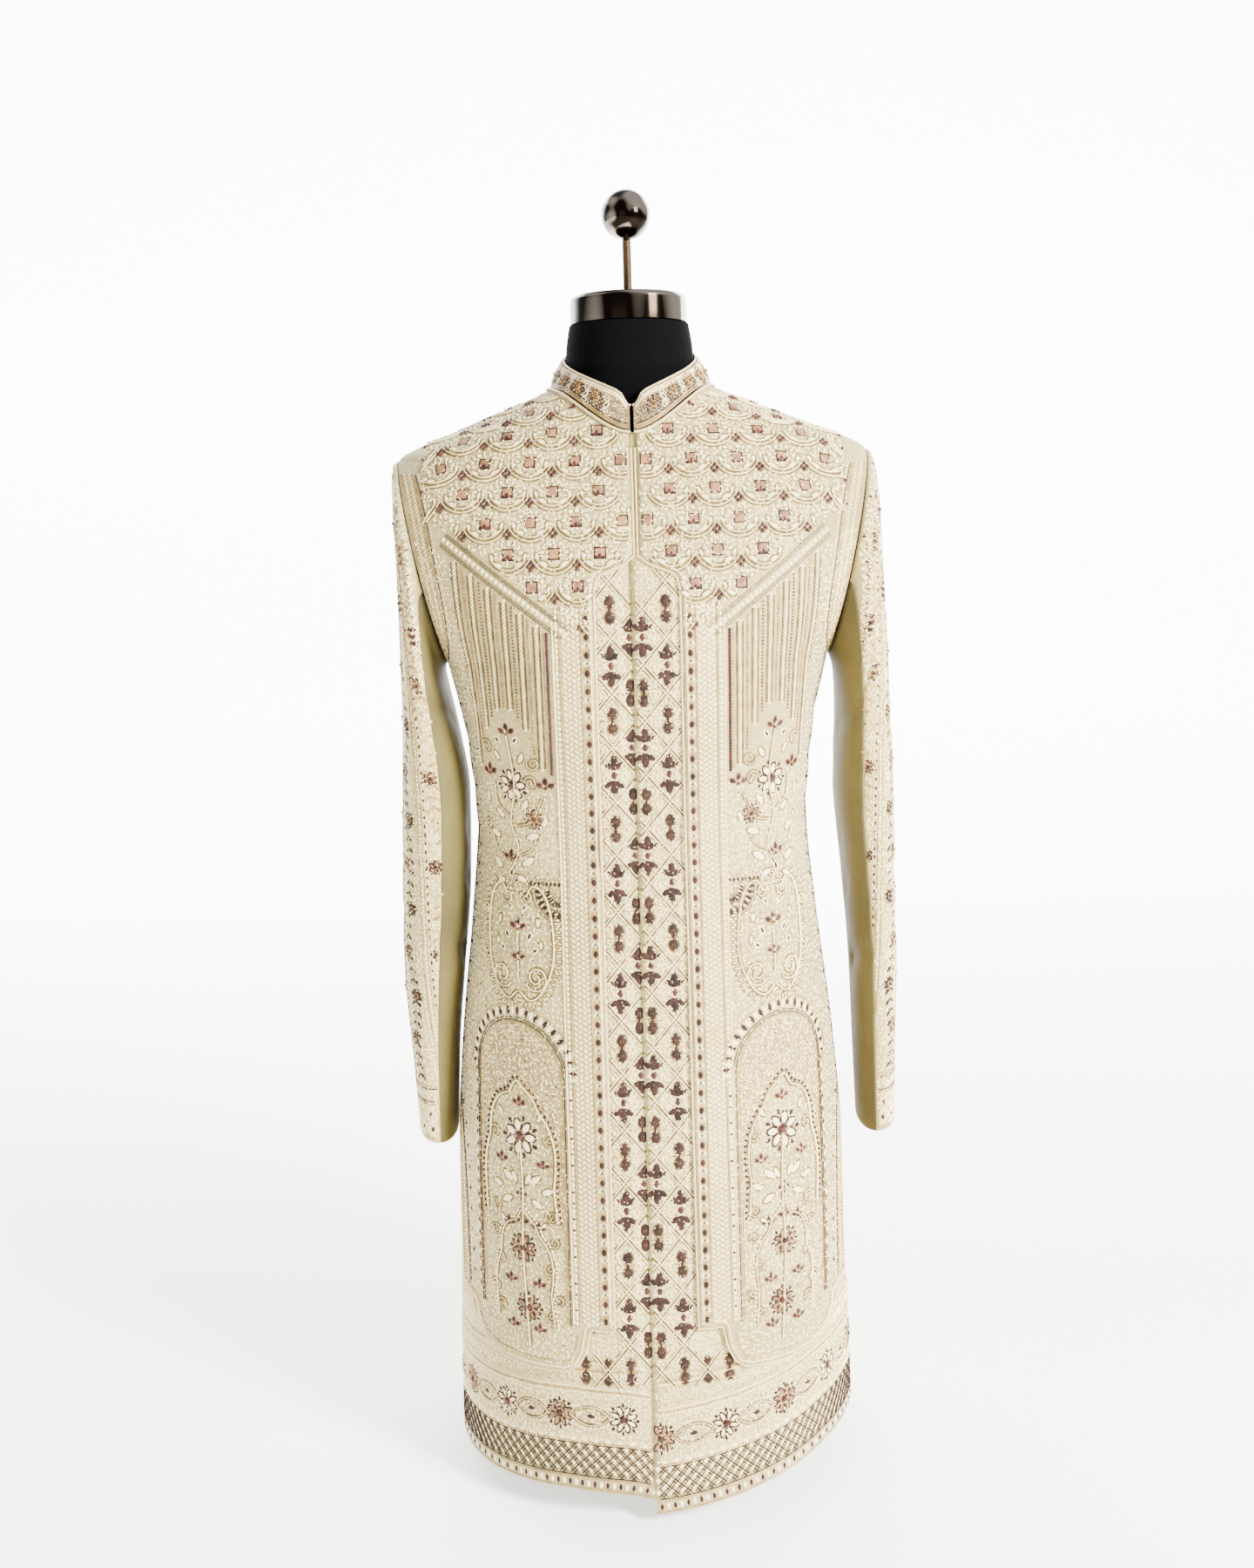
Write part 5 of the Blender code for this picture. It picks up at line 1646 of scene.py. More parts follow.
                work.raised(spiral((135 + way * out, v), 6.5, 0.3, 1.5 * way), 1.2)

    def shrunk(self, path: Array, middle: float, inset: float) -> Array:
        """A path of the arch moved in towards its own side."""
        turn = headings(path)
        return path + np.stack([np.sin(turn), -np.cos(turn)], -1) * inset

    def lobed(self, middle: float, half: float, spring: float, rise: float) -> Array:
        """A many-lobed arch with a pointed top."""
        angle = np.linspace(math.pi, 0, 73)
        bulge = 5.0 * np.abs(np.sin(3.5 * angle + math.pi / 2)) - 3.0
        peak = 8.0 * np.exp(-((angle - QUARTER) / 0.14) ** 2)
        top = np.stack([middle + (half + bulge) * np.cos(angle),
                        spring + (rise + bulge) * np.sin(angle) ** 0.9 + peak], -1)
        return np.concatenate([[(middle - half, spring - 34)], top, [(middle + half, spring - 34)]])

    def side_column(self, work: Needle) -> None:
        """The band round the armhole and on down the side: oblique bugles between bead lines."""
        v = np.arange(212.0, 1050.0, 4.0)
        edge_turn = OVER.side_turn(v / 1000)
        keys = np.arange(100.0, 330.0, 2.0)
        edge = np.array([np.interp(t, self.chart.turn(keys, np.full_like(keys, h)), keys)
                         for t, h in zip(edge_turn, v)])
        for inset, finish in ((3.0, Finish.GOLD), (21.0, Finish.GOLD), (24.0, Finish.BROWN)):
            work.cord(finish, np.stack([edge - inset, v], -1), 1.3, 0.9, step=4.0)
        work.string(Finish.PEARL, Stamp.SEED, np.stack([edge - 27.0, v], -1), 3.4, 0.9, height=0.9)
        for index, inset in enumerate(np.arange(5.5, 20.5, 3.4)):
            path = np.stack([edge - inset, v], -1)
            work.string(Finish.CREAM if index % 2 else Finish.GOLD, Stamp.STITCH, path, 3.8, 2.4, 0.9, 1.0,
                        lean=0.75 if index % 2 else -0.75)
        rows = np.arange(230.0, 860.0, 21.0)
        place = np.interp(rows, v, edge) - 33.0
        work.stamps(Finish.BROWN, Stamp.LEAF, place, rows, 3.4, 1.6, 1.3, QUARTER)
        work.stamps(Finish.PEARL, Stamp.PEARL, place, rows + 10.5, 1.4, None, 1.2)

    def grounds(self, work: Needle) -> None:
        """The close self-coloured stitches between the motifs."""
        work.limit = lambda u, v: (u > 84) & (v < 0.77 * (u - 70) + 878) & ((v < 745) | (u > 184))
        work.ground((84, 165), (262, 985), 6.2, Finish.CREAM, 2.2, seed=11 + self.side)
        work.sequins((84, 180), (262, 960), 11.0, (Finish.CRYSTAL, Finish.BRONZE, Finish.CREAM), 1.2)
        work.limit = None

    def scales(self, work: Needle) -> None:
        """The yoke: a half-drop repeat of scales, each with a patch, curls and dots."""
        work.limit = lambda pu, pv: pv > self.diagonal_up(pu)
        spacing = 44.0
        for row in range(0, 9):
            for column in range(0, 6):
                u = 34.0 + column * spacing - (row % 2) * spacing / 2
                self.scale(work, u, row * 31.0 + 4.0, row + column)
        work.ground((4, 0), (235, 270), 5.6, Finish.CREAM, 2.2, seed=31 + self.side)
        work.sequins((6, 0), (235, 270), 12.0, (Finish.CRYSTAL, Finish.PEARL), 1.2)
        work.limit = None

    def scale(self, work: Needle, u: float, v: float, kind: int) -> None:
        """One scale of the yoke: swags, a patch with its crown of petals, leaves and four dots."""
        angle = np.linspace(math.radians(205), math.radians(335), 20)
        for reach in (22.5, 18.5):
            fan = np.stack([u + reach * np.cos(angle), v + 14 + reach * np.sin(angle)], -1)
            work.raised(fan, 1.6)
        work.stamps(Finish.BROWN, Stamp.STITCH, u, v + 10, 8.6, 8.6, 0.9, math.pi / 4)
        work.stamps(Finish.ROSE, Stamp.STITCH, u, v + 10, 7.4, 7.4, 1.6, math.pi / 4)
        if kind % 2 == 0:
            work.stamps(Finish.MAROON, Stamp.LEAF, u, v + 8, 3.6, 2.6, 2.6, QUARTER)
            work.stamps(Finish.MAROON, Stamp.STONE, [u - 3.2, u + 3.2], v + 6, 1.5, None, 2.4)
        petals = np.radians([8, 34, 60, 90, 120, 146, 172])
        # the SHADE petals under the cream ones are painted shade
        for finish, half, height in ((Finish.SHADE, 4.6, 0.9), (Finish.CREAM, 3.4, 1.9)):
            work.stamps(finish, Stamp.LEAF, u + 12 * np.cos(petals), v + 9.6 + 12 * np.sin(petals), half,
                        half * 0.46, height, petals)
        dots = np.array([(-3.1, 0), (3.1, 0), (0, -3.1), (0, 3.1)])
        # the SHADE beads under the maroon dots are painted shade round them
        work.stamps(Finish.SHADE, Stamp.PEARL, u + 22 + dots[:, 0], v - 1 + dots[:, 1], 3.2, None, 0.9)
        work.stamps(Finish.MAROON, Stamp.PEARL, u + 22 + dots[:, 0], v - 1 + dots[:, 1], 2.4, None, 2.3)
        for way in (-1, 1):
            work.leaves([(u + way * 10, v + 0.5, 5.4, 90 - way * 62),
                         (u + way * 16, v + 8, 4.2, 90 - way * 25)], Finish.CREAM)

    def diagonal_up(self, u: Array) -> Array:
        """How far up the yoke the diagonal band's upper edge lies."""
        return 0.78 * (np.asarray(u, float) - 66.0) + 12.0


def sew_coat_front(side: int) -> list[bpy.types.Object]:
    """Set a front's placket, its hem and the ground between."""
    placket = Needle(f"placket_work_{SIDE_NAMES[side]}", CoatChart(side))
    Placket(side).sew(placket)
    placket.ground((-5, 165), (60, 960), 5.0, Finish.CREAM, 2.0, seed=51 + side)
    placket.ground((60, 165), (290, 330), 5.0, Finish.CREAM, 2.0, seed=53 + side)
    hem = Needle(f"hem_work_{SIDE_NAMES[side]}", HemChart(side))
    Hem(side, 1.0 if side > 0 else 36.0).sew(hem)
    hem.ground((-5, 52), (300, 104), 5.0, Finish.CREAM, 2.0, seed=55 + side)
    return placket.build() + hem.build()


def sew_coat_back(side: int) -> list[bpy.types.Object]:
    """Set the hem's bands on a back panel."""
    hem = Needle(f"back_hem_work_{SIDE_NAMES[side]}", HemChart(side, back=True))
    Hem(side, 303.0, start=290.0, end=640.0).sew(hem)
    return hem.build()


def sew_over_front(side: int) -> list[bpy.types.Object]:
    """Set an over-panel's needlework."""
    return OverLayout(side).sew()


def sew_sleeve(side: int, chart: SleeveChart) -> list[bpy.types.Object]:
    """Set a top sleeve's lengthwise bands and its cuff.

    Args:
        side: LEFT or RIGHT.
        chart: the sleeve.

    Returns:
        The needlework's pieces.
    """
    work = Needle(f"sleeve_work_{SIDE_NAMES[side]}", chart)
    cuff = chart.length - 62.0
    for middle in (-30.0, 14.0, 58.0, 100.0):
        sway = np.arange(20.0, cuff - 6, 6.0)
        vine = np.stack([middle + 4.5 * np.sin(sway / 22.0), sway], -1)
        work.twig(vine, 11.5, 5.0, Finish.BROWN if middle in (58.0, -30.0) else Finish.GOLD)
        sprigs = np.arange(34.0, cuff - 20, 46.0)
        for k, v in enumerate(sprigs):
            side_step = 6.0 if k % 2 else -6.0
            work.flower(middle + side_step, v, 7.5, 6, Finish.BROWN if k % 2 else Finish.ROSE)
            curl = spiral((middle - side_step * 1.4, v + 14), 5.5, 0.2, 1.4)
            work.cord(Finish.CREAM, curl, 1.2, 0.9, step=1.8)
        for edge in (middle + 19.0, middle + 24.0):
            work.cord(Finish.GOLD, np.array([(edge, 8.0), (edge, cuff)]), 1.2, 0.9, step=5.0)
        border = np.array([(middle + 21.5, 8.0), (middle + 21.5, cuff)])
        work.string(Finish.PEARL, Stamp.PEARL, border, 4.2, 1.1, height=1.1)
        work.string(Finish.BROWN, Stamp.LEAF, border + [5.5, 0], 9.0, 2.4, 1.1, 1.0)
    for v, finish in ((cuff, Finish.GOLD), (cuff + 3.0, Finish.BROWN), (cuff + 17.0, Finish.BROWN),
                      (cuff + 20.0, Finish.GOLD), (chart.length - 5.0, Finish.GOLD)):
        work.cord(finish, np.array([(-60.0, v), (150.0, v)]), 1.4, 1.0, step=4.0)
    work.scrolls(np.array([(-60.0, cuff + 10.0), (150.0, cuff + 10.0)]), 10.0, 4.6)
    for start in np.arange(-100.0, 160.0, 13.0):
        for way in (-1, 1):
            work.double(Finish.CREAM, np.array([(start, cuff + 21), (start + way * 36, chart.length - 6)]),
                        2.4, 1.2, 0.9)
    u, v = np.meshgrid(np.arange(-60.0, 150.0, 13.0), [cuff + 30.0, cuff + 48.0])
    work.stamps(Finish.BROWN, Stamp.LEAF, u + 6, v, 3.4, 1.7, 1.3, QUARTER)
    work.ground((-60, 6), (150, chart.length - 4), 5.2, Finish.CREAM, 2.0, seed=71 + side)
    return work.build()


def sew_collar(chart: CollarChart) -> list[bpy.types.Object]:
    """Set the collar's rosettes, scrolls and beads.

    Args:
        chart: the collar.

    Returns:
        The needlework's pieces.
    """
    work = Needle("collar_work", chart)
    keys = np.arange(2.0, chart.length - 2, 3.0)
    for inset, finish in ((2.0, Finish.CREAM), (4.4, Finish.CREAM), (6.0, Finish.GOLD)):
        work.cord(finish, np.stack([keys, chart.tall(keys) - inset], -1), 1.6, 0.8)
    for rise, finish in ((1.6, Finish.GOLD), (4.0, Finish.GOLD), (6.0, Finish.BROWN)):
        work.cord(finish, np.stack([keys, 0 * keys + rise], -1), 1.4, 0.8)
    for k, u in enumerate(np.arange(24.0, chart.length - 14, 26.0)):
        v = chart.tall(u) * 0.5 + 0.5
        work.flower(u, v, 8.5, 8, Finish.GOLD, Finish.BRONZE)
        work.string(Finish.CRYSTAL, Stamp.SEED, ring_path((u, v), 10.0), 2.6, 1.0, height=1.0)
        for way in (-1, 1):
            work.cord(Finish.CREAM, spiral((u + 13, v + way * 6.5), 4.6, 0.2, 1.4 * way), 1.2, 0.9, step=1.6)
        work.leaves([(u + 13, v, 3.4, 90)])
    work.sequins((2, 6), (chart.length - 2, 44), 2.7,
                 (Finish.GOLD, Finish.BROWN, Finish.CRYSTAL, Finish.PEARL, Finish.GOLD, Finish.CREAM), 0.85)
    return work.build()


def add_node(tree: bpy.types.NodeTree, kind: str, inputs: dict | None = None,
             **settings: object) -> bpy.types.Node:
    """Add a shader node.

    Args:
        tree: the material's nodes.
        kind: the node's type.
        inputs: values or other nodes' outputs, by socket name or index.
        settings: the node's own settings.

    Returns:
        The node.
    """
    node = tree.nodes.new(kind)
    for key, value in settings.items():
        setattr(node, key, value)
    for key, value in (inputs or {}).items():
        socket = node.inputs[key]
        if isinstance(value, bpy.types.NodeSocket):
            tree.links.new(value, socket)
        else:
            socket.default_value = value
    return node


def new_material(name: str) -> tuple[bpy.types.Material, bpy.types.NodeTree, bpy.types.Node]:
    """A new material with its nodes and its main shader."""
    material = bpy.data.materials.new(name)
    material.use_nodes = True
    return material, material.node_tree, material.node_tree.nodes["Principled BSDF"]


def mixed(tree: bpy.types.NodeTree, share: bpy.types.NodeSocket, low: str, high: str,
          start: float = 0.3, end: float = 0.7) -> bpy.types.NodeSocket:
    """Blend two colours by a value between two limits."""
    ramp = add_node(tree, "ShaderNodeValToRGB", {"Fac": share})
    ramp.color_ramp.elements[0].position, ramp.color_ramp.elements[1].position = start, end
    ramp.color_ramp.elements[0].color = to_linear(low)
    ramp.color_ramp.elements[1].color = to_linear(high)
    return ramp.outputs["Color"]


@dataclass(frozen=True)
class NeedleFinish:
    """One kind of thread, bead or stone: two colours that it wanders between, and its gloss."""

    name: str
    colour: str
    shade: str
    roughness: float
    metallic: float = 0.0
    coat: float = 0.0
    sheen: float = 0.0
    specular: float = 0.5

    def build(self) -> bpy.types.Material:
        """Make its material."""
        material, tree, shader = new_material(self.name)
        where = add_node(tree, "ShaderNodeTexCoord").outputs["Object"]
        # lengths of thread and batches of beads differ from one 9 mm patch to the next
        patches = add_node(tree, "ShaderNodeTexNoise", {"Vector": where, "Scale": 110.0, "Detail": 1.0})
        tree.links.new(mixed(tree, patches.outputs["Fac"], self.shade, self.colour),
                       shader.inputs["Base Color"])
        shader.inputs["Roughness"].default_value = self.roughness
        shader.inputs["Metallic"].default_value = self.metallic
        shader.inputs["Coat Weight"].default_value = self.coat
        shader.inputs["Sheen Weight"].default_value = self.sheen
        shader.inputs["Specular IOR Level"].default_value = self.specular
        return material


@dataclass(frozen=True)
class ClothFinish:
    """A woven cloth with two tones, a thread relief and, if worked, close self-coloured stitches with painted
    shade in their joins.
    """

    name: str
    colour: str
    shade: str
    thread_mm: float = 0.5
    stitch_mm: float = 0.0
    stitch_relief: float = 0.35
    sheen: float = 0.25
    roughness: float = 0.72
    specular: float = 0.3

    def build(self) -> bpy.types.Material:
        """Make its material."""
        material, tree, shader = new_material(self.name)
        coords = add_node(tree, "ShaderNodeTexCoord")
        cloth, where = coords.outputs["UV"], coords.outputs["Object"]
        # slow change of tone over some 120 mm, as the silk takes the light unevenly
        tone = add_node(tree, "ShaderNodeTexNoise", {"Vector": where, "Scale": 8.0, "Detail": 2.0})
        colour = mixed(tree, tone.outputs["Fac"], self.shade, self.colour, 0.25, 0.65)
        # the threads of the weave
        weave = add_node(tree, "ShaderNodeTexWave", {"Vector": cloth, "Scale": 1000 / self.thread_mm / 6.28,
                                                     "Distortion": 1.2}, bands_direction="DIAGONAL")
        relief = add_node(tree, "ShaderNodeBump", {"Strength": 0.12, "Distance": 0.0002,
                                                   "Height": weave.outputs["Fac"]})
        if self.stitch_mm:
            # close needlework in the cloth's own colour: cells of thread with sunk joins, darkened as painted
            # shade
            cells = add_node(tree, "ShaderNodeTexVoronoi",
                             {"Vector": cloth, "Scale": 1000 / self.stitch_mm, "Randomness": 0.75},
                             feature="DISTANCE_TO_EDGE")
            rise = add_node(tree, "ShaderNodeMapRange", {"Value": cells.outputs["Distance"],
                                                         "From Min": 0.0, "From Max": 0.28})
            relief = add_node(tree, "ShaderNodeBump", {
                "Strength": self.stitch_relief, "Distance": 0.0006,
                "Height": rise.outputs["Result"], "Normal": relief.outputs["Normal"]})
            # painted shade: the colour darkens to the shade tone in the sunk joins between the stitch cells
            sunk = add_node(tree, "ShaderNodeMix", {0: rise.outputs["Result"],
                                                    6: to_linear(self.shade)},
                            data_type="RGBA", blend_type="MIX")
            tree.links.new(colour, sunk.inputs[7])
            colour = sunk.outputs[2]
        tree.links.new(colour, shader.inputs["Base Color"])
        tree.links.new(relief.outputs["Normal"], shader.inputs["Normal"])
        shader.inputs["Roughness"].default_value = self.roughness
        shader.inputs["Sheen Weight"].default_value = self.sheen
        shader.inputs["Sheen Roughness"].default_value = 0.45
        shader.inputs["Specular IOR Level"].default_value = self.specular
        return material


@dataclass(frozen=True)
class MetalFinish:
    """A metal or enamel: colour, gloss, how much its polish wanders and, if given, a dark colour for painted
    reflection bands.
    """

    name: str
    colour: str
    roughness: float
    metallic: float = 1.0
    wander: float = 0.06
    # the dark colour of painted reflection bands, blended into the base colour
    dark: str = ""

    def build(self) -> bpy.types.Material:
        """Make its material."""
        material, tree, shader = new_material(self.name)
        shader.inputs["Base Color"].default_value = to_linear(self.colour)
        shader.inputs["Metallic"].default_value = self.metallic
        coords = add_node(tree, "ShaderNodeTexCoord")
        where = coords.outputs["Object"]
        if self.dark:
            # painted reflection: the base colour darkens in bands that follow the metal's own normals,
            # standing in for a dark room seen in the polish
            painted_reflection_bands = add_node(tree, "ShaderNodeTexNoise", {"Vector": coords.outputs["Normal"],
                                                         "Scale": 1.5, "Detail": 0.0})
            tree.links.new(mixed(tree, painted_reflection_bands.outputs["Fac"], self.dark, self.colour, 0.42, 0.58),
                           shader.inputs["Base Color"])
        smears = add_node(tree, "ShaderNodeTexNoise", {"Vector": where, "Scale": 45.0, "Detail": 3.0})
        polish = add_node(tree, "ShaderNodeMapRange", {
            "Value": smears.outputs["Fac"], "To Min": self.roughness,
            "To Max": self.roughness + self.wander})
        tree.links.new(polish.outputs["Result"], shader.inputs["Roughness"])
        return material


THREADS = {
    Finish.PEARL: NeedleFinish("glass pearls", "FFF4CC", "F6E4B0", 0.22, coat=0.4),
    Finish.CREAM: NeedleFinish("cream silk thread", "FFE9B0", "F2D998", 0.60, sheen=0.2),
    Finish.GOLD: NeedleFinish("pale gold zari thread", "BC9850", "7A5C30", 0.45, metallic=0.20),
    Finish.ROSE: NeedleFinish("dusty rose thread", "A4764E", "6C4A32", 0.60, specular=0.2),
    Finish.BROWN: NeedleFinish("brown silk thread", "38221A", "1C100B", 0.60, specular=0.15),
    Finish.MAROON: NeedleFinish("maroon thread and stones", "481C1A", "260D0D", 0.40, specular=0.3),
    Finish.BRONZE: NeedleFinish("bronze sequins", "7A4E2C", "42281A", 0.30, metallic=0.5),
    Finish.CRYSTAL: NeedleFinish("smoky cut crystals", "5C5C64", "1C1C24", 0.10, metallic=0.5, coat=0.5),
    # SHADE is painted shade: a dark olive laid round raised work where its shadow falls
    Finish.SHADE: NeedleFinish("olive painted shade under raised work", "7E6C3E", "564626", 0.75, specular=0.1),
}
NEEDLEWORK: dict[Finish, bpy.types.Material] = {}

CLOTHS = {
    "coat": ClothFinish("ivory silk blend, worked", "E2CE90", "A4925A", stitch_mm=4.2),
    "over": ClothFinish("ivory silk blend, closely worked", "DAC688", "968650", stitch_mm=3.6,
                        stitch_relief=0.45),
    "sleeve": ClothFinish("ivory silk blend for sleeves", "DCC88A", "9A8A54", stitch_mm=4.4),
    "plain": ClothFinish("plain ivory silk blend", "EAD598", "C8B478"),
    # the under-sleeve's pistachio is darkened to a dark olive: its own colour with painted shade beside the
    # body
    "under": ClothFinish("plain pistachio silk blend", "5C5228", "3C3418", sheen=0.0),
    "collar": ClothFinish("beaded collar ground", "A68E5C", "5E4C2E", stitch_mm=2.6,
                          stitch_relief=0.5),
    "form": ClothFinish("black cotton jersey", "060607", "030304", thread_mm=0.9, sheen=0.0,
                        roughness=0.95, specular=0.03),
}
METALS = {
    # the steel's dark colour paints reflections of a dark room into its base colour
    "steel": MetalFinish("polished steel", "958B7E", 0.09, dark="140F0B"),
    "rod": MetalFinish("tarnished threaded brass", "4A3A28", 0.35),
    "cord": MetalFinish("gold cord", "D8BE84", 0.5, metallic=0.1),
    "tube": MetalFinish("brushed steel tube", "A9A9AB", 0.30),
    "enamel": MetalFinish("satin black enamel", "16161A", 0.40, metallic=0.0),
}


@dataclass(frozen=True)
class Cut:
    """The flat cut of a cloth piece as it shows: width, length and area, in metres."""

    width: float
    length: float
    area: float


def cloth_shell(name: str, points: Array, flip: bool, wall: float,
                material: bpy.types.Material) -> bpy.types.Object:
    """Make a thin cloth shell from a grid of points on its outer face.

    Args:
        name: the piece's name.
        points: the outer face's points, rows first.
        flip: whether the grid's own faces look inwards.
        wall: the cloth's thickness, in metres.
        material: its cloth.

    Returns:
        The piece, with its measured places on the cloth as UV, in metres.
    """
    rows, columns = points.shape[:2]
    shape = bmesh.new()
    bmesh.ops.create_grid(shape, x_segments=columns - 1, y_segments=rows - 1, size=0.5)
    if flip:
        bmesh.ops.reverse_faces(shape, faces=shape.faces)
    mesh = bpy.data.meshes.new(name)
    shape.to_mesh(mesh)
    shape.free()
    flat = np.empty(len(mesh.vertices) * 3, np.float32)
    mesh.vertices.foreach_get("co", flat)
    flat = flat.reshape(-1, 3)
    column = np.round((flat[:, 0] + 0.5) * (columns - 1)).astype(int)
    row = np.round((flat[:, 1] + 0.5) * (rows - 1)).astype(int)
    mesh.vertices.foreach_set("co", points[row, column].astype(np.float32).ravel())
    across = np.linalg.norm(np.diff(points, axis=1, prepend=points[:, :1]), axis=-1).cumsum(axis=1)
    along = np.linalg.norm(np.diff(points, axis=0, prepend=points[:1]), axis=-1).cumsum(axis=0)
    places = np.stack([across[row, column], along[row, column]], -1).astype(np.float32)
    loops = np.empty(len(mesh.loops), np.int32)
    mesh.loops.foreach_get("vertex_index", loops)
    mesh.uv_layers.new(name="cloth").data.foreach_set("uv", places[loops].ravel())
    mesh.polygons.foreach_set("use_smooth", np.ones(len(mesh.polygons), bool))
    mesh.update()
    mesh.materials.append(material)
    made = put(name, mesh)
    solid = made.modifiers.new("wall", "SOLIDIFY")
    solid.thickness = wall
    solid.offset = -1
    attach(made, "root")
    return made


@dataclass
class ClothPiece:
    """A cloth piece: its shell, its needlework and its cut."""

    side: int
    fine_rows: int = 4
    fine_columns: int = 3

    def name(self, kind: str) -> str:
        """The piece's name with its side."""
        return f"{kind}_{SIDE_NAMES[self.side]}"

    def finish(self, shell: bpy.types.Object, node: str, slot: str, cut: Cut, rests_on: list[str],
               work: list[bpy.types.Object]) -> None:
        """Hide the part's solid that the shell stands in for, and log the shell's faces and area."""
        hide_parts(node)
        size = sum(face.area for face in shell.data.polygons)
        log.info("%s: %d faces, %.3f square metres", shell.name, len(shell.data.polygons), size)


@dataclass
class CoatFront(ClothPiece):
    """A full-length front of the coat, the right one lapping over the left."""

    cut: Cut = Cut(0.345, 1.10, 0.330)

    def grid(self) -> Array:
        """The front's outer face."""
        levels = COAT.levels(self.fine_rows)
        columns = refined(COAT.columns, self.fine_columns)[None, :]
        turn = columns + 0 * levels
        for _ in range(4):
            height = BODY.row_height(levels + 0 * turn, COAT.hem_level, turn,
                                     COAT.hem_height(self.side, turn))
            edge = COAT.front_edge(self.side, height)
            turn = edge + (BODY.armhole_turn(height) - edge) * columns
        across = np.abs(BODY.point(self.side, height, turn)[..., 0]) * np.sign(turn)
        return BODY.lifted(self.side, height, turn, COAT.sink(self.side, across))

    def build(self) -> None:
        """Make the front and its needlework."""
        shell = cloth_shell(self.name("front_cloth"), self.grid(), self.side < 0, COAT.wall,
                            CLOTHS["coat"].build())
        work = sew_coat_front(self.side)
        self.finish(shell, self.name("coat_front"), "coat_cloth", self.cut, ["form_torso"], work)


@dataclass
class CoatBack(ClothPiece):
    """A back panel, plain cloth with soft creases at the waist."""

    fine_columns: int = 5
    columns: int = 10
    cut: Cut = Cut(0.330, 1.12, 0.330)

    def build(self) -> None:
        """Make the back panel."""
        levels = COAT.levels(self.fine_rows)
        share = np.linspace(0, 1, self.columns * self.fine_columns + 1)[None, :]
        turn = 1 + share + 0 * levels
        for _ in range(4):
            height = BODY.row_height(levels + 0 * turn, COAT.hem_level, turn,
                                     COAT.hem_height(self.side, turn))
            start = 2 - BODY.armhole_turn(height)
            middle = 2 - BODY.turn_at(np.full_like(height, COAT.back_seam), height)
            turn = start + (middle - start) * share
        grid = BODY.lifted(self.side, height, turn, np.zeros_like(turn))
        shell = cloth_shell(self.name("back_cloth"), grid, self.side < 0, COAT.wall,
                            CLOTHS["plain"].build())
        work = sew_coat_back(self.side)
        self.finish(shell, self.name("coat_back"), "coat_cloth", self.cut, ["form_torso"], work)


@dataclass
class OverFront(ClothPiece):
    """A cutaway over-panel with its notch, rounded tongue and side vent."""

    low_levels: tuple[float, ...] = (0.2000, 0.2250, 0.2600)
    notch_levels: tuple[float, ...] = (0.944, 0.9495, 0.966)
    cut: Cut = Cut(0.300, 1.03, 0.215)

    def build(self) -> None:
        """Make the over-panel and its needlework."""
        marks = sorted({*COAT.skirt, *COAT.chest, *self.notch_levels, *COAT.shoulder})
        levels = refined((*self.low_levels, *marks), self.fine_rows)[:, None]
        columns = refined(OVER.columns, self.fine_columns)[None, :]
        turn = columns + 0 * levels
        for _ in range(8):
            height = BODY.row_height(levels + 0 * turn, self.low_levels[0], turn,
                                     OVER.hem_height(turn))
            edge = OVER.edge_turn(height)
            turn = edge + (OVER.side_turn(height) - edge) * columns
        grid = BODY.lifted(self.side, height, turn, OVER.lift(height))
        shell = cloth_shell(self.name("over_cloth"), grid, self.side < 0, OVER.wall,
                            CLOTHS["over"].build())
        work = sew_over_front(self.side)
        self.finish(shell, self.name("over_front"), "over_panel_cloth", self.cut,
                    [self.name("front_cloth")], work)


@dataclass
class Sleeve(ClothPiece):
    """A sleeve: the embroidered top sleeve and the plain under-sleeve, sewn along two seams."""

    top_cut: Cut = Cut(0.240, 0.72, 0.124)
    under_cut: Cut = Cut(0.180, 0.56, 0.080)

    def build(self) -> None:
        """Make both cloth pieces and the needlework."""
        chart = SleeveChart(self.side)
        rows = np.linspace(0, chart.surface.points.shape[0] - 1.001, 104)[:, None]
        start, end = -chart.seam + chart.seam_gap, chart.seam - chart.seam_gap
        top = self.wall_grid(chart, rows, np.linspace(start, end, 53))
        shell = cloth_shell(self.name("top_sleeve_cloth"), top, self.side < 0, chart.wall,
                            CLOTHS["sleeve"].build())
        work = sew_sleeve(self.side, chart)
        self.finish(shell, self.name("sleeve_top"), "sleeve_cloth", self.top_cut,
                    [self.name("front_cloth")], work)
        start, end = chart.seam + chart.seam_gap, 2 * math.pi - chart.seam - chart.seam_gap
        under = self.wall_grid(chart, rows, np.linspace(start, end, 41))
        shell = cloth_shell(self.name("under_sleeve_cloth"), under, self.side < 0, chart.wall,
                            CLOTHS["under"].build())
        self.finish(shell, self.name("sleeve_under"), "under_sleeve_cloth", self.under_cut,
                    [self.name("front_cloth")], [])

    def wall_grid(self, chart: SleeveChart, rows: Array, angles: Array) -> Array:
        """The outer face between two seams."""
        wrapped = (angles + math.pi) % (2 * math.pi)
        columns = wrapped / (2 * math.pi) * (len(chart.angles) - 1)
        return chart.surface.read(rows + 0 * columns, columns[None, :] + 0 * rows,
                                  np.zeros((len(rows), len(angles))))


@dataclass
class Collar:
    """The stand collar, closely beaded."""

    cut: Cut = Cut(0.490, 0.062, 0.024)

    def build(self) -> None:
        """Make the collar and its needlework."""
        chart = CollarChart()
        shell = cloth_shell("collar_cloth", chart.surface.points, False, chart.wall,
                            CLOTHS["collar"].build())
        work = sew_collar(chart)
        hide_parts("collar_band")


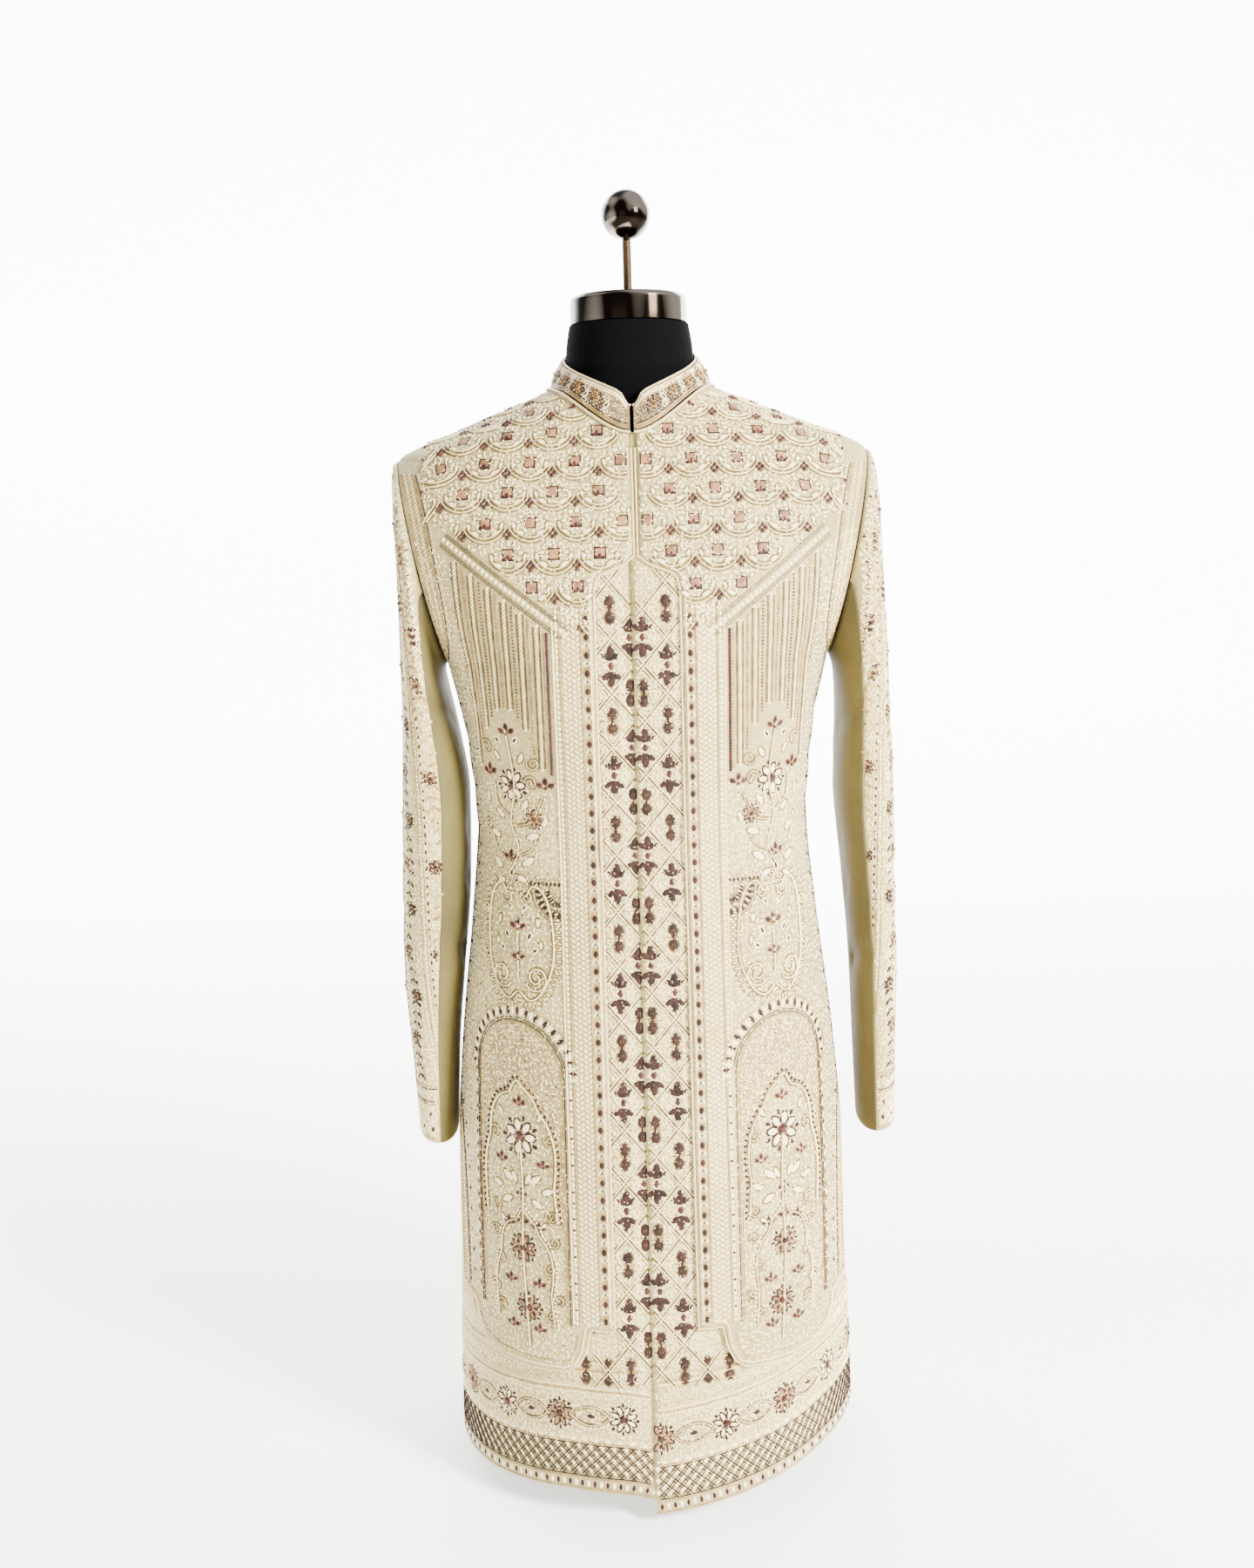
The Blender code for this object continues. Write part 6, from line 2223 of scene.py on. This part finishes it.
def tube_quads(rows: int, columns: int) -> Array:
    """The quads of a grid of points whose columns close on themselves."""
    k = np.arange(columns)
    ahead = (k + 1) % columns
    base = np.arange(rows - 1)[:, None] * columns
    quads = np.stack([base + k, base + ahead, base + ahead + columns, base + k + columns], -1)
    return quads.reshape(-1, 4)


def turned(name: str, profile: Sequence[tuple[float, float]], steps: int,
           material: bpy.types.Material) -> bpy.types.Object:
    """Turn a profile of (radius, height) round the form's axis, top to bottom."""
    shape = bmesh.new()
    verts = [shape.verts.new((radius, 0, height)) for radius, height in profile]
    edges = [shape.edges.new(pair) for pair in zip(verts, verts[1:])]
    bmesh.ops.spin(shape, geom=verts + edges, cent=(0, 0, 0), axis=(0, 0, 1), steps=steps,
                   angle=2 * math.pi)
    bmesh.ops.remove_doubles(shape, verts=shape.verts, dist=0.00001)
    bmesh.ops.recalc_face_normals(shape, faces=shape.faces)
    mesh = bpy.data.meshes.new(name)
    shape.to_mesh(mesh)
    shape.free()
    mesh.shade_smooth()
    mesh.set_sharp_from_angle(angle=math.radians(40))
    mesh.materials.append(material)
    made = put(name, mesh)
    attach(made, "root")
    return made


def rounded_rim(radius: float, height: float, size: float, steps: int = 8) -> list[tuple[float, float]]:
    """The profile of a rim rounded from a flat top to an upright side."""
    return [(radius - size + size * math.sin(angle), height - size + size * math.cos(angle))
            for angle in (QUARTER * k / steps for k in range(steps + 1))]


@dataclass
class DressForm:
    """The limbless form: cloth torso, steel cap, threaded rod, ball, pole and base."""

    bottom: float = 0.450
    levels: tuple[float, ...] = (0.450, 0.470, 0.520, 0.570, 0.630, 0.690, 0.750, 0.810, 0.862,
                                 0.900, 0.940, 0.980, 1.020, 1.050, 1.063, 1.0763, 1.0912, 1.104,
                                 1.117, 1.1295, 1.140, 1.150, 1.170, 1.1935)
    inset: tuple[tuple[float, float], ...] = (
        (0.4500, 0.0140), (0.6900, 0.0100), (0.8620, 0.0140), (0.9500, 0.0180), (1.0200, 0.0100),
        (1.0600, 0.0046), (1.0763, 0.0034), (1.1295, 0.0034), (1.1500, 0.0000), (1.2000, 0.0000))
    front_inset: float = 0.0028
    arm_inset: float = 0.0200
    around: int = 96
    cap_radius: float = 0.0592
    cap_bottom: float = 1.1939
    cap_top: float = 1.2225
    cap_round: float = 0.0060
    rod_radius: float = 0.0046
    rod_pitch: float = 0.0018
    rod_depth: float = 0.0005
    ball_radius: float = 0.0246
    ball_centre: float = 1.3014
    pole_radius: float = 0.0160
    base_radius: float = 0.1400
    base_height: float = 0.0110

    def build(self) -> None:
        """Make all of it."""
        self.build_torso()
        steel, tube = METALS["steel"].build(), METALS["tube"].build()
        cap = [(0.0, self.cap_top)] + rounded_rim(self.cap_radius, self.cap_top, self.cap_round)
        cap += [(self.cap_radius, self.cap_bottom + 0.001), (self.cap_radius - 0.001, self.cap_bottom),
                (0.0, self.cap_bottom)]
        piece = turned("neck_cap", cap, 128, steel)
        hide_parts("form_neck_cap")
        angles = [math.pi * k / 40 for k in range(41)]
        ball = [(self.ball_radius * math.sin(a), self.ball_centre + self.ball_radius * math.cos(a))
                for a in angles]
        piece = turned("steel_ball", ball, 80, steel)
        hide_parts("form_ball")
        self.build_rod()
        pole = [(0.0, self.bottom - 0.0003), (self.pole_radius, self.bottom - 0.0003),
                (self.pole_radius, self.base_height + 0.0003), (0.0, self.base_height + 0.0003)]
        piece = turned("stand_pole", pole, 64, tube)
        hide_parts("form_pole")
        base = [(0.0, self.base_height)] + rounded_rim(self.base_radius, self.base_height, 0.003)
        piece = turned("stand_base", base + [(self.base_radius, 0.0), (0.0, 0.0)], 128,
                       METALS["enamel"].build())
        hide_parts("form_base")

    def build_torso(self) -> None:
        """The cloth torso with its neck, a closed loft."""
        levels = refined(self.levels, 3)[:, None]
        turns = 4 * np.arange(self.around)[None, :] / self.around
        side = np.where(turns <= 2, 1, -1)
        turn = np.where(side > 0, turns, 4 - turns) + 0 * levels
        height = levels + 0 * turn
        rows = np.array(self.inset)
        inset = monotone(rows[:, 0], rows[:, 1], height)
        more = self.front_inset * np.clip(np.cos(turn * QUARTER), 0, 1) ** 2
        inset = inset + np.where(inset > 0, more, 0)
        points = BODY.point(1, height, turn) - BODY.normal(1, height, turn) * inset[..., None]
        limit = np.where(height > BODY.arm_bottom, BODY.armhole_x(height) - self.arm_inset, 1.0)
        points[..., 0] = np.clip(points[..., 0], -limit, limit) * side
        points[0, :, 2], points[-1, :, 2] = self.bottom, self.levels[-1]
        count = points.shape[0]
        k = np.arange(self.around)
        ahead = (k + 1) % self.around
        quads = tube_quads(count, self.around)
        flat = points.reshape(-1, 3)
        low, high = len(flat), len(flat) + 1
        flat = np.concatenate([flat, [[0, 0, self.bottom], [0, 0, self.levels[-1]]]])
        last = (count - 1) * self.around
        tris = np.concatenate([np.stack([quads[:, 0], quads[:, 1], quads[:, 2]], -1),
                               np.stack([quads[:, 0], quads[:, 2], quads[:, 3]], -1),
                               np.stack([ahead, k, np.full_like(k, low)], -1),
                               np.stack([last + k, last + ahead, np.full_like(k, high)], -1)])
        piece = add_mesh("torso_cloth", flat, tris, CLOTHS["form"].build())
        piece.data.set_sharp_from_angle(angle=math.radians(50))
        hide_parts("form_torso")

    def build_rod(self) -> None:
        """The rod with a real thread cut round it."""
        low = self.cap_top + 0.0003
        high = self.ball_centre - self.ball_radius - 0.0003
        heights = np.arange(low, high, self.rod_pitch / 6)[:, None]
        angles = np.linspace(0, 2 * math.pi, 25)[None, :-1]
        phase = (heights / self.rod_pitch + angles / (2 * math.pi)) % 1
        radius = self.rod_radius - self.rod_depth * np.abs(2 * phase - 1)
        points = np.stack([radius * np.cos(angles), radius * np.sin(angles), heights + 0 * angles], -1)
        piece = add_mesh("threaded_rod", points.reshape(-1, 3), tube_quads(*points.shape[:2]),
                         METALS["rod"].build())
        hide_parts("form_rod")


@dataclass
class Studio:
    """A pale plain sweep, soft studio lights and the camera at the photo's place."""

    focal: float = 37.36
    pitch: float = math.radians(9.12)
    roll: float = math.radians(-1.6)
    camera: tuple[float, float, float] = (-0.0146, -1.70, 0.997)
    floor_size: float = 9.0

    def build(self) -> None:
        """Set all of it up."""
        scene = bpy.context.scene
        world = bpy.data.worlds.new("white studio")
        world.use_nodes = True
        world.node_tree.nodes["Background"].inputs["Color"].default_value = to_linear("FFFFFF")
        world.node_tree.nodes["Background"].inputs["Strength"].default_value = 1.0
        scene.world = world
        self.sweep()
        self.light("key", (2.3, -2.0, 2.0), 0.8, 600.0, (0, 0, 0.7))
        self.light("front", (-0.9, -2.8, 1.0), 1.4, 14.0, (0, 0, 0.5))
        self.light("rim", (-1.9, 1.6, 2.2), 1.5, 40.0, (0, 0, 0.8))
        self.place_camera()

    def sweep(self) -> None:
        """A white floor that curves up into a backdrop and glows as painted light, brighter the farther it
        lies behind.
        """
        far, bend = self.floor_size / 2, 1.5
        angles = np.linspace(0, QUARTER, 13)
        profile = [(-far, 0.0)] + [(y, 0.0) for y in np.linspace(0, far - bend, 8)]
        profile += [(far - bend + bend * math.sin(a), bend - bend * math.cos(a)) for a in angles[1:]]
        profile.append((far, 6.0))
        shape = bmesh.new()
        bmesh.ops.create_grid(shape, x_segments=1, y_segments=len(profile) - 1, size=1.0)
        for vert in shape.verts:
            y, z = profile[round((vert.co.y + 1) / 2 * (len(profile) - 1))]
            vert.co = (vert.co.x * 6.0, y, z)
        mesh = bpy.data.meshes.new("studio_floor")
        shape.to_mesh(mesh)
        shape.free()
        mesh.shade_smooth()
        material, tree, shader = new_material("white studio paper")
        shader.inputs["Base Color"].default_value = to_linear("FAFAF8")
        shader.inputs["Roughness"].default_value = 0.9
        where = add_node(tree, "ShaderNodeTexCoord").outputs["Object"]
        distance = add_node(tree, "ShaderNodeSeparateXYZ", {"Vector": where}).outputs["Y"]
        # painted light: the floor and backdrop glow, weakly in front and strongly far behind
        painted_backdrop_glow = add_node(tree, "ShaderNodeMapRange", {"Value": distance, "From Min": 0.3, "From Max": 4.0,
                                                     "To Min": 1.3, "To Max": 9.0})
        tree.links.new(painted_backdrop_glow.outputs["Result"], shader.inputs["Emission Strength"])
        shader.inputs["Emission Color"].default_value = to_linear("FFFFFF")
        mesh.materials.append(material)
        floor = put("studio_floor", mesh)

    def light(self, name: str, place: Sequence[float], size: float, power: float,
              target: Sequence[float]) -> None:
        """A square soft light aimed at a point."""
        data = bpy.data.lights.new(name, "AREA")
        data.shape = "SQUARE"
        data.size = size
        data.energy = power
        lamp = put(name, data)
        lamp.location = place
        lamp.rotation_euler = (Vector(target) - Vector(place)).to_track_quat("-Z", "Y").to_euler()

    def place_camera(self) -> None:
        """The camera as worked out from the photo."""
        data = bpy.data.cameras.new("camera")
        data.lens = self.focal
        data.sensor_width = 36.0
        made = put("camera", data)
        turn = Matrix.Rotation(QUARTER - self.pitch, 4, "X") @ Matrix.Rotation(self.roll, 4, "Z")
        made.matrix_world = Matrix.Translation(self.camera) @ turn
        bpy.context.scene.camera = made


def dress_node(name: str, material: bpy.types.Material) -> None:
    """Give a node of the part a finer finish."""
    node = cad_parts[name]
    node.data.materials.clear()
    node.data.materials.append(material)


def main() -> None:
    """Build the finished coat on its form, in the studio."""
    for finish, thread in THREADS.items():
        NEEDLEWORK[finish] = thread.build()
    DressForm().build()
    for side in (LEFT, RIGHT):
        CoatFront(side).build()
        CoatBack(side).build()
        OverFront(side).build()
        Sleeve(side).build()
    Collar().build()
    cord = METALS["cord"].build()
    for name in ("over_piping_left", "over_piping_right", "collar_top_piping", "collar_base_piping"):
        dress_node(name, cord)
    Studio().build()


if __name__ == "__main__":
    main()
